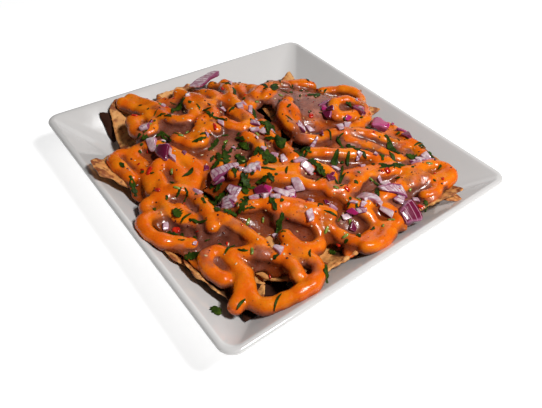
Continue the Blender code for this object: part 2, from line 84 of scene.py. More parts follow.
# The food's crest, as in the solids: over the rim in the middle, its fall to the edge and its tilt
HEAP_REACH = 108.0
CREST = 13.0
CREST_FALL = 10.0
CREST_POWER = 2.2
EDGE_DROP = 0.5
EDGE_TILT = 0.02

# Grids for the sauces: height maps over the plate, and fields of distances from a surface
MAP_REACH = 132.0
MAP_STEP = 1.2
MAP_LOW = (-MAP_REACH, -MAP_REACH)
MAP_AXIS = np.arange(-MAP_REACH, MAP_REACH + MAP_STEP, MAP_STEP)
FIELD_LOW = (-127.0, -127.0, 8.0)
FIELD_HIGH = (127.0, 127.0, 64.0)
FIELD_STEP = 1.2
FIELD_AXES = [
    low + FIELD_STEP * np.arange(round((high - low) / FIELD_STEP) + 1)
    for low, high in zip(FIELD_LOW, FIELD_HIGH)
]
FAR = 9.0

# Ropes: how they lie on, bridge and stand over what is below, and how ridges run out
ROPE_RADIUS = 5.3
ROPE_STEP = 12.0
ROPE_SMOOTH = 6
ROPE_BLEND = 3.5
ROPE_REST = 0.4
ROPE_MOST = 1.15
ROPE_OVER = 0.5
SKIN_REACH = 3
SKIN_SOFT = 2
BRIDGE_REACH = 7
RIDGE_SINK = 0.2
RIDGE_END = 0.6
RIDGE_FADE = 12

# The bed of sauce that fills the heap, the film over it and how they melt into the ropes
CREST_REACH = 4
FILLET = 5.0
BED_SAG = 6.5
BED_FALL = 14.0
BED_FULL = 22.0
BED_SHORE = 6.0
FILM_UNDER = 0.3
FILM_EDGE = 2.4
FILM_INNER = 8.0
FILM_ROUND = 1.2
MELT_REACH = 5
MELT_DROP = 2.0
# How far under the crests the sauce turns to painted shade: where it starts and where it ends
CREASE_SHADE_DROP = (0.6, 4.6)

# Where the sauce turns mauve: by how far it drops under the crests, how far off the ropes it
# is and how far outside a mauve or a coated place, each as where it starts and where it ends
BEAN_DROP = (0.5, 3.2)
BEAN_OFF = (0.4, 2.4)
BEAN_SHORE = (-6, 10)
COAT_SHORE = (-3, 3)

# How much a rope swells along its length: share, radians a millimetre, shift from rope to rope
ROPE_SWELLS = ((0.07, 0.23, 1), (0.05, 0.61, 2))
# Unevenness: depth and size of the waves in the film's edge, in the ropes and in the film
EDGE_WAVES = ((2.2, 9), (1.0, 4))
ROPE_WAVE, ROPE_WAVE_SIZE = 0.25, 5
FILM_WAVE, FILM_WAVE_SIZE = 0.3, 7

# Chips
CHIP_POWER = 9.0
CHIP_SIDE = 0.58
CHIP_SPOKES = 42
CHIP_RINGS = (0.04, 0.25, 0.45, 0.65, 0.82, 0.93, 0.98, 1.0)
CHIP_THICK = 1.9
CHIP_OVER = 1.5
CHIP_CLEAR = 0.3
# A chip's ragged edge, as a share, and its buckles, blisters and pits in millimetres
CHIP_RAGGED, CHIP_BUCKLE, CHIP_BLISTER, CHIP_PITS = 0.03, 0.8, 1.3, 0.15
# The same for the chips that have solids: depth and size of their waves, and their blisters
TOP_WAVES = ((0.5, 6), (0.3, 2.5))
TOP_BLISTER = 0.8
CHIP_WELD = 0.00001
BURIED_TRIES = 150
BURIED_WITHIN = 96
BURIED_LEAN = 0.13
BURIED_REACH = (26, 34)
BURIED_CURL = (-0.15, 0.25)
BURIED_COVER = 9.0
BURIED_SEED, FAR_SEED, EDGE_SEED = 100, 300, 310
CORE_SHARE = (0.97, 0.97, 0.7)
CORE_LIFT = 1
# Painted shade: how far the chips inside the heap turn near-black towards its middle
HEAP_SHADE = 0.9
# Painted shade: near-black colours of the heap's core and the sheet under it, then of the chips low at its
# edge
SHADE_DARK = ((0.012, 0.004, 0.002), (0.035, 0.012, 0.006))
SHADE_EDGE_DARK = ((0.016, 0.004, 0.001), (0.05, 0.012, 0.003))

# Chips whose corners are blunt: how far out from the middle their corners start to close up
BLUNT_CHIPS = {"chip_left_front": 28.0}
BLUNT_SHARE = 0.4

# Loose chips of the heap that show at its edge: x, y, height, lean towards X and Y, heading, reach, curl
LOOSE_CHIPS = (
    (-76, 80, 24.0, -0.15, 0.15, 138, 14, 0.2),
    (-22, 108, 26.0, 0.0, 0.25, 95, 16, 0.1),
    (-4, 104, 24.0, 0.05, 0.20, 60, 17, 0.1),
    (104, 74, 27.0, 0.15, -0.10, 20, 20, 0.1),
)
# Loose chips that lift the sauce along the far edge, in the same order
FAR_CHIPS = (
    (38, 87, 31.0, 0.0, 0.0, 150, 24, 0.1),
    (66, 87, 31.0, 0.0, 0.0, 30, 24, 0.1),
    (86, 82, 30.0, 0.05, 0.0, 150, 22, 0.1),
)

# Chips near-black as painted shade, low at the heap's edge and in its gaps where shade falls, in the same
# order
SHADE_CHIPS = (
    (-108, -81, 19.5, -0.85, 0.0, -30, 15, 0.0),
    (102, -94, 17.0, 0.25, -0.25, 70, 12, 0.0),
    (94, -87, 13.0, 0.0, 0.0, 75, 18, 0.0),
    (86, -78, 15.0, 0.0, 0.0, 30, 22, 0.0),
    (89, -48, 15.0, 0.0, 0.0, 30, 18, 0.0),
    (-44, 26, 14.0, 0.0, 0.0, 30, 26, 0.0),
    (-6, 24, 14.0, 0.0, 0.0, 75, 26, 0.0),
)

# Patches of painted shade on the chips, near-black where shade falls: x, y, half sizes, heading
SHADE_PATCHES = (
    (76, -104, 17, 4.5, 15),
    (106, -20, 8, 5, 70),
)

# Onion
ONION_SQUARE = 7.0
ONION_SKEW = 0.45
ONION_SCALE = 0.86
ONION_BEND = 18
ONION_SINK = 0.25
ONION_UNEVEN = 0.07

# Leaves
LEAF_SCALE = 0.86
LEAF_STEP = 0.8
LEAF_LEAST_STEPS = 7
LEAF_SIDES = (-1.0, -0.5, 0.0, 0.5, 1.0)
LEAF_BEND = 45
LEAF_STIFF = 0.65
LEAF_TIP = 0.12
LEAF_NOTCH = 0.58
LEAF_RAGGED = 0.25
LEAF_LIFT = 0.35
LEAF_CURL = 0.12
LEAF_THICK = 0.3

# Toppings scattered by number: how many, how far apart at least
MORE_ONION = (18, 9)
MORE_LEAVES = (130, 5)
SCATTER_WITHIN = 115
SCATTER_INSET = 3

# Crumbs: piece, dark and pale colour, roughness, how many, how far apart at least,
# least length and its spread, least width and its spread, thickness, squareness
CRUMBS = (
    ("chilli", (0.42, 0.008, 0.004), (0.75, 0.03, 0.01), 0.15, 60, 5, 1, 2, 0.8, 1.2, 0.8, 3.0),
    ("garlic_and_seeds", (0.62, 0.36, 0.13), (0.85, 0.66, 0.40), 0.25, 150, 4, 1, 1.3, 0.8, 0.7, 0.8, 2.4),
    ("stem_slices", (0.10, 0.16, 0.015), (0.30, 0.38, 0.06), 0.25, 34, 9, 2.5, 4, 1.5, 1, 1.4, 3.0),
    ("bean_skins", (0.05, 0.006, 0.004), (0.13, 0.014, 0.01), 0.25, 230, 4, 1, 1, 0.8, 0.8, 0.7, 2.4),
)
CHILLI_THICK = 1.8
CHILLI_SQUARE = 3.0
CRUMB_SINK = 0.3
CRUMB_UNEVEN = 0.12

# Lights: name, direction from the plate, size in metres and power in watts
LIGHTS = (
    ("key", (0.503, 0.195, 0.831), 0.17, 9.0),
    ("back", (-0.6, 0.75, 0.5), 0.6, 1.0),
)
LIGHT_AWAY = 1.0
WORLD_LIGHT = 0.038
FLOOR_SIZE = 30.0
FLOOR_GLOW = 0.75

# Camera: millimetres of lens and sensor, place in metres, turns in degrees about Z, X and Z again
LENS = 33.15
SENSOR = 36.0
CAMERA_PLACE = (0.23517, -0.20248, 0.27252)
CAMERA_TURNS = ((48.6016, "Z"), (45.7286, "X"), (5.1536, "Z"))

# Ropes of cheese sauce, as in the solids: x, y, heading, turn of each stroke
ROPES = (
    (-115, -62, 30, (0, -25, -15, 25, 30, 80, 50, -15)),
    (-113, -70, 30, (0, -25, -15, -20, -105, -65, 0)),
    (-99, -25, 30, (-10, -45, 50, -45, -90, 125, 30)),
    (-100, 23, 5, (0, -15, -15, 5, -10)),
    (-103, 12, 10, (0, -30, -10, 20, 15)),
    (-93, -10, 25, (-5, -40, -95, -100)),
    (-84, 30, 10, (10, 95, -45, -15, 5, -10)),
    (-55.5, 25, 125, (-15, -45, -15)),
    (-39, 90, 60, (-5, -30, -45, -40, -40, -20, 75, 25)),
    (2, 98.5, -30, (-5, -35, -10)),
    (-29, 39, -60, (5, 40, 25)),
    (-45, -6, 30, (-20, -70, -85, -45)),
    (-39, -43, 15, (-55, -115, -5)),
    (6, -76.5, 115, (35, 35, 20, -10, 20, 60, 90, 20)),
    (-18, 4, -20, (0, 35, -25, -5)),
    (-11, -17, 20, (-20, -45, -35)),
    (18, -48, 55, (0, 10, 5, 0, 10)),
    (35.5, -31, 55, (5, -40, 45, 45, 110)),
    (17, 40, 60, (0, -5, -10, -20)),
    (29, 11, 55, (0, 0, 5, -25, 5)),
    (68, -1, 60, (10, 55, -55, 5, -5)),
    (89.5, 15, 85, (0, 10, 10, -45, -10)),
    (83, 62, 85, (-5, -10, -70, -75, -50)),
    (94, 57, 75, (-15, -125, -65)),
    (94.5, 22.5, 30, (-25, -120, -35)),
    (86, 3, 40, (-25, -70, -35, -70, -10, 20)),
    (115, 11, -70, (-15, -35)),
    (45, -60, 65, (0, -15, -5, -5, 0)),
    (57.5, -44, 30, (5, 0, -55, -65, -70, -35)),
    (86.5, -58, 40, (-5, -45, -55, -30, -10, -10, -85, -5)),
    (71, -85, 55, (0, -15, -35, -35)),
    (42.5, -77.5, 25, (0, -20, 0)),
    (86, -87, -50, (5, -10)),
    (81, -88.5, -180, (5, 95, 85, 30)),
    (47, -85, 160, (0, 15, 25, 45, 85, 50, -5)),
    (17, -100, -100, (5, 80, 40, 30, -5)),
    (-9, -99.5, 165, (0, 0, 20, 60, 105, 20, 0)),
    (3.5, -78.5, 170, (-5, 30, 105, 70, -55, -50, 100)),
)

# Lower ridges where the sauce has run: radius, then places that each one passes through
RIDGES = (
    (5.5, (-77, 50), (-68, 52), (-59, 47), (-51, 35), (-46, 26)),
    (5.0, (-81, 34), (-67, 30), (-55, 25), (-45, 21)),
    (5.0, (-97, 23), (-83, 25), (-69, 21), (-54, 17), (-43, 13)),
    (5.0, (-94, -2), (-79, 0), (-65, -1), (-52, 2), (-40, 3)),
    (4.5, (-46, -4), (-34, -7), (-22, -5), (-10, -3)),
    (6.5, (8, 62), (10, 76), (13, 89)),
    (5.0, (18, 56), (23, 69), (33, 76), (46, 81), (57, 89), (65, 95)),
    (5.5, (28, 46), (37, 55), (49, 63), (62, 68), (71, 76)),
    (7.0, (61, 15), (64, 27), (67, 40), (73, 50), (77, 64)),
    (5.5, (86, 23), (89, 35), (92, 48), (91, 60), (86, 70), (86, 83)),
    (5.0, (72, 1), (81, 7), (91, 9), (102, 9)),
    (6.5, (107, 28), (113, 28)),
    (5.5, (111, 9), (118, 8)),
    (6.0, (91, 93), (98, 91), (101, 83), (98, 76)),
    (5.0, (24, 99), (33, 103), (42, 101), (52, 98), (61, 98), (70, 101)),
    (5.5, (64, 95), (73, 94), (82, 95)),
    (5.5, (-112, -55), (-99, -52), (-84, -47), (-72, -42)),
    (6.0, (-86, -64), (-85, -71), (-76, -76), (-68, -72)),
    (5.5, (-92, -25), (-82, -17), (-70, -18), (-64, -26), (-62, -37)),
    (5.0, (-59, -15), (-49, -21), (-39, -29), (-29, -33)),
    (6.5, (-38, -51), (-31, -44), (-24, -48)),
    (5.5, (-49, -98), (-34, -96), (-20, -95), (-7, -97)),
    (5.0, (-23, -79), (-11, -77), (0, -82)),
    (5.0, (-23, -66), (-10, -60), (1, -62)),
    (5.0, (16, -20), (24, -13), (33, -6)),
    (5.0, (13, -42), (21, -33), (29, -22), (36, -12)),
    (5.0, (66, -47), (61, -38), (64, -29), (72, -24)),
    (5.0, (3, 20), (12, 28), (19, 40), (22, 52)),
    (5.5, (-26, 35), (-17, 35), (-7, 29), (1, 25)),
    (5.0, (34, -73), (41, -65), (36, -60), (28, -64)),
    (5.0, (13, -93), (27, -91), (40, -87)),
    (3.6, (-14, -5), (-5, -11), (3, -18), (8, -24)),
    (3.4, (-24, -11), (-16, -17), (-7, -19), (1, -13)),
    (3.6, (-2, -42), (3, -50), (10, -55)),
    (3.8, (15, -42), (21, -31), (28, -20), (35, -8)),
    (3.4, (30, -27), (38, -18), (44, -8)),
    (3.6, (-60, -30), (-47, -34), (-35, -33)),
    (3.6, (66, -25), (75, -14), (86, -10)),
    (3.4, (30, -95), (41, -91), (48, -96)),
)

# The outer edge of the sauce, and the bare or dark places inside it: x, y, half sizes, heading
SAUCE_EDGE = (
    (-113, -52), (-104, -20), (-105, 8), (-98, 30), (-80, 46), (-74, 78), (-48, 92), (-38, 104),
    (-5, 104), (16, 96), (34, 104), (60, 104), (88, 104), (108, 96), (112, 66), (116, 34),
    (117, 4), (113, -28), (104, -52), (98, -74), (84, -100), (60, -112), (26, -113), (-6, -110),
    (-34, -110), (-52, -106), (-60, -96), (-66, -84), (-84, -71), (-104, -66),
)
SAUCE_HOLES = (
    (-39, 20, 14, 4.5, -8),
    (-2, 19, 8, 3.5, -8),
    (13, 22, 4, 7, -15),
    (80, -54, 13, 6.5, 20),
    (98, -81, 12, 6.5, 28),
    (-82, -90, 24, 10, -12),
    (104, -30, 10, 9, 80),
    (112, 77, 16, 7, 100),
    (-58, -110, 12, 7, -40),
    (-104, -30, 14, 5, 80),
    (10, -68, 7, 3, 0),
)

# Sauce that has run down on to the plate under the heap, near-black as painted shade where the heap's gaps
# show it
RUNOFF_INSET = 5.5
RUNOFF_THICK = 1.6

# Mauve places, where the bean sauce shows: x, y, half sizes, heading
BEAN_PLACES = (
    (-30, 52, 46, 30, 60),
    (-62, -52, 36, 20, -60),
    (-12, -24, 34, 20, 10),
    (60, 14, 32, 18, 45),
    (46, 62, 34, 18, 20),
    (100, 42, 22, 16, 70),
    (44, -92, 34, 18, 5),
)

# Places where bean sauce coats the ropes as well: the same, and how strongly
COATED_PLACES = (
    (-46, 52, 11, 8, -30, 0.9),
    (-34, 43, 11, 8, -35, 0.85),
    (2, 26, 12, 7, -15, 0.8),
    (-22, 56, 14, 8, 10, 0.8),
    (84, -74, 10, 7, 60, 0.8),
    (54, -72, 8, 6, 10, 0.6),
    (106, -30, 7, 12, 10, 0.6),
    (84, 20, 14, 7, 70, 0.6),
    (94, 62, 8, 14, 10, 0.6),
    (30, 57, 16, 6, 25, 0.6),
    (-66, -12, 14, 6, 10, 0.4),
    (-44, -62, 14, 7, 20, 0.5),
    (76, -36, 8, 6, 20, 0.5),
    (108, -52, 8, 5, -30, 0.6),
    (112, 40, 6, 10, 0, 0.6),
)

# Red onion standing for a solid: name, x, y, length, width, thickness, heading, bend, kind
# Kinds: 0 white flesh, 1 cut across the layers, so striped, 2 with its purple skin,
# 3 a paler magenta, 4 purple with white lines
ONION_PARTS = (
    ("onion_back_slice", -97, 2, 33, 9, 3.5, 110, 15, 1),
    ("onion_back_dice", 35, 84, 13, 12, 5, 20, 30, 3),
    ("onion_right_dice", 112, 33, 16, 14, 7, 100, 20, 4),
    ("onion_right_stripe", 92, 38, 20, 8, 4, 60, 40, 1),
    ("onion_right_slice", 86, 17, 20, 8, 3, 15, 50, 0),
    ("onion_centre_stripe", 9, -50, 22, 8, 3, 75, 35, 1),
    ("onion_centre_roll", 36, -1, 14, 10, 3, 40, 120, 0),
    ("onion_left_dice", -32, -77, 15, 11, 6, 20, 25, 2),
)

# Smaller bits of onion: x, y, heading, length, width, thickness, kind
ONION_BITS = (
    (-70, -71, -35, 18, 8, 3, 1), (-46, -70, 0, 5, 5, 3, 0), (-44, -79, -25, 13, 8, 3, 0),
    (-21, -75, 40, 6, 5, 4, 0), (-84, -24, -30, 8, 4, 3, 0), (-35, 3, 20, 7, 4, 3, 0),
    (-13, -7, 50, 8, 5, 3, 0), (-47, 7, 10, 6, 4, 2, 0), (-6, -4, 0, 7, 5, 3, 0),
    (22, 51, -30, 9, 6, 3, 0), (34, -65, -30, 15, 9, 3, 1), (23, -38, -60, 13, 5, 3, 0),
    (40, -41, 60, 10, 9, 4, 2), (47, -42, -35, 13, 8, 4, 0), (44, -48, 30, 8, 6, 3, 0),
    (67, -19, 10, 6, 4, 3, 0), (13, -19, 40, 5, 4, 3, 0), (79, -30, -25, 10, 6, 3, 0),
    (82, -11, 30, 6, 4, 3, 0), (89, -4, 70, 8, 5, 3, 0), (93, 4, 60, 10, 5, 2.5, 1),
    (97, -5, 20, 6, 5, 3, 2), (15, -76, 0, 6, 5, 3, 0), (54, 97, -10, 9, 6, 3, 2),
    (61, 101, 60, 11, 6, 3, 1), (78, 85, 20, 9, 8, 4, 0), (81, 76, 30, 9, 5, 3, 0),
    (84, 35, 70, 7, 5, 3, 0), (62, 3, 10, 6, 5, 3, 2), (60, 52, 0, 4, 4, 2, 0),
    (26, -108, -20, 6, 5, 3, 0), (86, -62, 10, 8, 6, 3, 0), (-13, 66, 85, 16, 3, 2, 2),
    (2, 56, -30, 8, 7, 4, 2), (12, 83, -10, 15, 7, 4, 2), (-93, 25, -35, 9, 3, 2, 0),
    (-86, 20, -30, 8, 3, 2, 0), (33, 96, -70, 8, 3, 2, 2), (102, 21, 15, 12, 5, 2.5, 0),
    (-55, -8, 0, 7, 3, 2, 0), (-23, 8, 10, 6, 4, 3, 0), (72, -52, 20, 5, 4, 2, 0),
    (64, -64, -15, 16, 3, 2, 2), (53, 41, 20, 5, 4, 2, 0), (105, 50, 40, 5, 4, 3, 0),
    (-40, 8, -35, 12, 4, 2.5, 0), (-45, 1, -20, 8, 6, 3, 0), (-18, -3, 20, 10, 5, 3, 1),
    (-5, 5, 50, 10, 4, 2.5, 0), (-28, 7, 10, 8, 3, 2.5, 0), (-33, -25, 30, 6, 5, 3, 0),
    (18, -12, 30, 7, 6, 4, 0), (27, -11, -20, 8, 5, 3, 0), (44, -3, 20, 12, 7, 3, 0),
    (52, -18, -15, 12, 7, 3, 0), (53, -24, -30, 12, 7, 3, 1), (49, -30, 20, 14, 6, 3, 0),
    (42, -37, 0, 7, 7, 4, 3), (51, -38, -30, 14, 7, 3, 1), (24, -34, -60, 14, 5, 3, 0),
    (26, -34, 10, 8, 5, 3, 0), (20, -44, 0, 5, 4, 3, 0), (27, -55, 10, 13, 9, 3, 1),
    (10, -57, 80, 12, 8, 3, 1), (34, -61, 10, 10, 5, 3, 0), (30, -65, 30, 12, 6, 3, 1),
    (3, 36, 10, 8, 4, 2.5, 0), (1, 29, 30, 10, 6, 3, 1), (18, 28, -60, 14, 4, 2.5, 1),
    (15, 38, -30, 12, 3, 2, 2), (57, -25, -60, 8, 3, 2, 3), (32, 105, -55, 9, 2.4, 2, 3),
    (46, 101, 15, 11, 4, 2.5, 3), (57, 103, 55, 12, 5, 2.5, 1), (8, 87, -20, 9, 7, 4, 3),
    (79, 91, 0, 8, 6, 4, 0), (77, 81, 10, 7, 5, 3, 1), (83, 89, 60, 12, 3, 2.5, 2),
    (14, 67, -60, 6, 5, 3, 3), (20, 61, -50, 10, 5, 2.5, 0), (-14, 71, 75, 14, 3, 2, 3),
    (-7, 60, -30, 8, 5, 3, 3), (0, 60, 30, 7, 5, 3, 2), (99, 39, -75, 10, 7, 3, 1),
    (84, 15, -15, 14, 5, 2.5, 0), (93, 20, 20, 10, 5, 2.5, 0), (62, 35, 0, 6, 4, 2, 0),
    (83, 41, 60, 6, 4, 3, 0), (78, 39, 0, 7, 3, 2, 0),
    (91, 8, -70, 8, 4, 2.5, 0), (90, 0, 10, 7, 5, 3, 3), (51, 20, 20, 8, 3, 2, 0),
    (60, 7, -60, 5, 3, 2, 2), (40, 7, 40, 4, 3, 2, 0),
)

# Coriander: x, y, heading, length, width, lobes
LEAVES = (
    (-65, 58, -42, 26, 3, 1), (-52, 44, -50, 14, 9, 4), (-60, 39, -10, 16, 4, 3),
    (-26, 71, -60, 14, 6, 3), (-29, 65, 60, 8, 5, 2), (-72, 65, -10, 12, 4, 3), (8, 1, -42, 24, 10, 0),
    (-6, -44, -30, 12, 6, 3), (7, -45, 30, 10, 6, 3), (-24, -50, 80, 13, 4, 3), (-14, -35, -50, 12, 3, 2),
    (-79, -38, -68, 20, 6, 0), (-49, -62, 8, 26, 2, 0), (-50, -67, -8, 24, 4, 3),
    (-58, -65, -70, 8, 4, 1), (-3, -71, -68, 15, 4, 1), (-40, -24, 22, 22, 3, 3),
    (-50, -26, -10, 12, 4, 2), (-4, -24, 10, 12, 7, 4), (-7, -33, -60, 14, 3, 2),
    (-19, -108, -10, 12, 5, 3), (-35, -108, 10, 6, 4, 1), (-67, -52, 20, 9, 3, 1),
    (-60, -77, 60, 7, 5, 2), (1, -52, -70, 14, 5, 3), (8, -58, -60, 12, 6, 3), (24, -24, -40, 9, 5, 3),
    (10, -37, 20, 9, 6, 3), (32, -29, 50, 12, 3, 1), (39, -18, -45, 9, 2, 0), (36, -40, 60, 14, 4, 2),
    (31, -48, -10, 13, 8, 4), (40, -52, 10, 8, 4, 2), (23, -65, -80, 17, 7, 4), (27, -73, -40, 9, 6, 3),
    (46, -71, 50, 11, 8, 4), (38, -75, -30, 8, 6, 3), (67, -86, -65, 14, 2.2, 0), (38, -91, 35, 15, 3, 2),
    (24, -98, 0, 9, 9, 4), (29, -95, -75, 11, 2, 0), (26, -79, -10, 8, 3, 1), (15, -87, -52, 9, 1, 0),
    (34, -110, 45, 13, 7, 3), (57, -107, 60, 11, 8, 4), (96, -115, 10, 8, 8, 4),
    (104, -103, -70, 10, 2, 0), (117, -50, -35, 13, 4, 2), (115, -86, -60, 12, 1.6, 0),
    (100, -25, 0, 6, 5, 3), (85, -17, 40, 11, 2, 1), (100, -48, -40, 8, 1.6, 0), (107, -11, -20, 5, 4, 2),
    (31, 5, -85, 9, 3, 1), (48, 22, -65, 14, 5, 1), (59, 18, -50, 17, 2, 1), (39, 38, -62, 13, 4, 1),
    (33, 28, 88, 14, 2, 1), (20, 42, -20, 12, 2, 1), (74, 52, 60, 20, 3, 1), (78, 61, 80, 8, 4, 2),
    (67, 67, -25, 15, 3, 1), (57, 78, -12, 24, 8, 2), (71, 84, 20, 11, 8, 4), (68, 99, 85, 12, 3, 1),
    (71, 98, 70, 10, 2, 1), (82, 94, -22, 13, 6, 2), (113, 51, -30, 7, 4, 2), (82, 20, -60, 8, 3, 1),
    (80, 36, 10, 9, 2.4, 1), (-42, 65, 30, 4, 4, 1), (-33, 56, -40, 6, 2, 0), (-34, 42, -40, 6, 2, 0),
    (-33, 33, -28, 12, 2, 1), (-86, 17, 8, 13, 3, 2), (-70, 14, -25, 17, 3.4, 1), (-21, 11, -40, 8, 3, 1),
    (-35, 8, -20, 12, 3, 2), (-9, 3, -30, 16, 8, 4), (-4, -3, 10, 10, 5, 3), (-55, -8, -5, 14, 1.6, 0),
    (18, -18, 20, 18, 13, 4), (-11, -23, 10, 12, 3, 2), (5, -32, 0, 14, 8, 3), (-2, -41, -30, 20, 8, 3),
    (-19, -39, -60, 18, 5, 3), (-28, -42, 80, 10, 4, 2), (-38, 12, -10, 10, 3, 1), (-33, 4, 30, 10, 3, 1),
    (-13, 12, -30, 12, 3, 2), (-15, 2, 20, 10, 5, 3), (-1, 5, -20, 12, 5, 3), (29, 12, -60, 16, 4, 2),
    (24, 13, 30, 8, 3, 1), (41, 2, 10, 14, 8, 4), (49, 4, -20, 10, 6, 3), (28, -46, 0, 12, 8, 4),
    (18, -48, -20, 12, 4, 2), (14, -58, -60, 10, 5, 3), (36, -36, 60, 12, 5, 3), (38, -31, 0, 8, 5, 3),
    (43, -54, -50, 14, 5, 2), (47, -60, -70, 12, 6, 3), (22, -69, -75, 16, 8, 3),
    (28, -64, -50, 10, 6, 3), (12, -24, -50, 12, 5, 3), (57, -44, -15, 14, 5, 2),
    (69, -47, -60, 12, 5, 2), (3, -5, 40, 10, 4, 2), (63, 55, -40, 12, 4, 2), (43, 47, -10, 16, 9, 4),
    (52, 44, 20, 14, 4, 2), (30, 42, -15, 12, 3, 1), (51, 32, -40, 10, 3, 0), (45, 25, -70, 12, 4, 1),
    (20, 50, 0, 12, 3, 1), (56, 22, -50, 16, 2.4, 0), (63, 13, -60, 14, 2.4, 0), (76, 57, 80, 14, 4, 2),
    (72, 49, 20, 10, 5, 2), (84, 30, -60, 16, 2.2, 0), (90, 25, -50, 14, 2.4, 0),
    (67, 101, 80, 14, 2.2, 0), (64, 98, 85, 12, 2.2, 0), (27, 7, -70, 12, 5, 2), (29, 1, 10, 9, 3, 1),
    (40, 5, 10, 12, 5, 3), (53, 5, -20, 10, 4, 3), (65, 6, -15, 8, 2.4, 1), (25, 12, -80, 12, 2.4, 1),
)

# Red chilli: x, y, heading, length, width
CHILLI = (
    (-41, 93, 10, 12, 8), (-5, 44, -40, 5, 4), (-1, 94, 0, 4, 3), (-98, -71, -15, 5, 3),
    (-89, -71, 60, 5, 3), (-31, -32, -20, 7, 2.4), (-83, 9, -10, 6, 3), (77, 47, 0, 5, 4),
    (75, 8, 20, 5, 3), (94, 41, 70, 4, 2.4), (98, -104, -38, 14, 2.2), (46, -102, 20, 5, 4),
    (-21, -94, -50, 8, 3), (112, 46, 0, 5, 3), (-2, -98, 10, 5, 3), (101, -22, 0, 4, 3),
    (31, -103, 60, 5, 4),
)


# ---- small tools


def smoothstep(low, high, value):
    """0 below low, 1 above high, with a smooth rise between."""
    share = np.clip((value - low) / (high - low), 0.0, 1.0)
    return share * share * (3 - 2 * share)


def waves(points, size, seed, count=14):
    """A smooth random value of about -1 to 1 at each point, changing over about size."""
    pick = np.random.default_rng(seed)
    total = 0.0
    for _ in range(count):
        way = pick.normal(size=len(points))
        way *= pick.uniform(0.6, 1.4) * 2 * math.pi / (2 * size) / np.linalg.norm(way)
        phase = pick.uniform(0, 2 * math.pi)
        total = total + np.sin(sum(way[k] * points[k] for k in range(len(points))) + phase)
    return total / math.sqrt(count) * 0.9


def smooth_min(one, other, reach):
    """The smaller of two fields, rounded where they are within reach of each other."""
    share = np.maximum(reach - np.abs(one - other), 0.0) / reach
    return np.minimum(one, other) - share**3 * reach / 6


def ellipse_distance(x, y, place):
    """About how far a point is outside an ellipse given as x, y, half sizes and heading."""
    centre_x, centre_y, half_long, half_wide, heading = place[:5]
    turn = math.radians(heading)
    along = (x - centre_x) * math.cos(turn) + (y - centre_y) * math.sin(turn)
    across = (y - centre_y) * math.cos(turn) - (x - centre_x) * math.sin(turn)
    out = np.sqrt((along / half_long) ** 2 + (across / half_wide) ** 2)
    return (out - 1) * min(half_long, half_wide)


def polygon_distance(x, y, corners):
    """How far points are outside a polygon, negative inside."""
    nearest = np.full(x.shape, 1e9)
    inside = np.zeros(x.shape, bool)
    for (ax, ay), (bx, by) in zip(corners, corners[1:] + corners[:1]):
        ex, ey = bx - ax, by - ay
        share = np.clip(((x - ax) * ex + (y - ay) * ey) / (ex * ex + ey * ey), 0, 1)
        nearest = np.minimum(nearest, np.hypot(x - ax - share * ex, y - ay - share * ey))
        spans = (ay > y) != (by > y)
        slope = (bx - ax) / (by - ay if by != ay else 1e-9)
        inside ^= spans & (x < ax + (y - ay) * slope)
    return np.where(inside, -nearest, nearest)


def filtered(grid, reach, pick):
    """Each cell replaced by the pick of the square of cells within reach."""
    for axis in (0, 1):
        rolled = [np.roll(grid, shift, axis=axis) for shift in range(-reach, reach + 1)]
        grid = pick(rolled, axis=0)
    return grid


def widened(grid, reach):
    """A height map with its tops spread over a reach, then softened."""
    return filtered(filtered(grid, reach, np.max), reach, np.mean)


def grid_of(one, other):
    """Every pair of two axes' values, as two grids and as rows."""
    x, y = np.meshgrid(one, other, indexing="ij")
    return x, y, np.column_stack((x.ravel(), y.ravel()))


def sampled(values, low, step, points):
    """The values of a map or a field at points, by linear interpolation."""
    places = [(points[:, k] - low[k]) / step for k in range(values.ndim)]
    cells = [np.clip(p.astype(int), 0, values.shape[k] - 2) for k, p in enumerate(places)]
    shares = [np.clip(p - c, 0, 1) for p, c in zip(places, cells)]
    total = 0.0
    for corner in np.ndindex(*(2,) * values.ndim):
        weight = 1.0
        for k, side in enumerate(corner):
            weight = weight * (shares[k] if side else 1 - shares[k])
        total = total + weight * values[tuple(c + side for c, side in zip(cells, corner))]
    return total


# ---- meshes


def tree_of(objects):
    """A search tree of some objects' meshes, in millimetres."""
    points, faces = [], []
    for obj in objects:
        first = len(points)
        points += [vert.co / MM for vert in obj.data.vertices]
        obj.data.calc_loop_triangles()
        faces += [[first + i for i in face.vertices] for face in obj.data.loop_triangles]
    return BVHTree.FromPolygons(points, faces)


def nodes_named(*starts):
    """The solids whose names start in one of these ways."""
    return [node for name, node in sorted(frame["nodes"].items()) if name.startswith(starts)]


def top_of(tree, x, y):
    """The highest place over x, y and its normal, or (None, None)."""
    hit, normal = tree.ray_cast(Vector((x, y, RAY_TOP)), Vector((0, 0, -1)))[:2]
    return (hit.z, normal) if hit else (None, None)


def piece_of(name, points, faces, material, slot=None, values=None):
    """A mesh piece from points in millimetres, riding on the part's one body."""
    mesh = bpy.data.meshes.new(name)
    mesh.from_pydata((np.asarray(points, float) * MM).tolist(), [], faces)
    mesh.validate()
    for key, numbers in (values or {}).items():
        attribute = mesh.attributes.new(key, "FLOAT", "POINT")
        attribute.data.foreach_set("value", np.asarray(numbers, np.float32))
    bm = bmesh.new()
    bm.from_mesh(mesh)
    bmesh.ops.recalc_face_normals(bm, faces=bm.faces)
    bm.to_mesh(mesh)
    bm.free()
    mesh.materials.append(material)
    mesh.shade_smooth()
    piece = bpy.data.objects.new(name, mesh)
    bpy.context.scene.collection.objects.link(piece)
    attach(piece, "root")
    return piece


def band_faces(rings, around):
    """The faces between points that run ring by ring."""
    faces = []
    for ring in range(rings - 1):
        for k in range(around):
            base, after = ring * around, (k + 1) % around
            faces.append((base + k, base + after, base + around + after, base + around + k))
    return faces


def tube_faces(rings, around):
    """The faces of a tube of points ring by ring, closed at both ends."""
    ends = [tuple(range(around))[::-1], tuple((rings - 1) * around + k for k in range(around))]
    return ends + band_faces(rings, around)


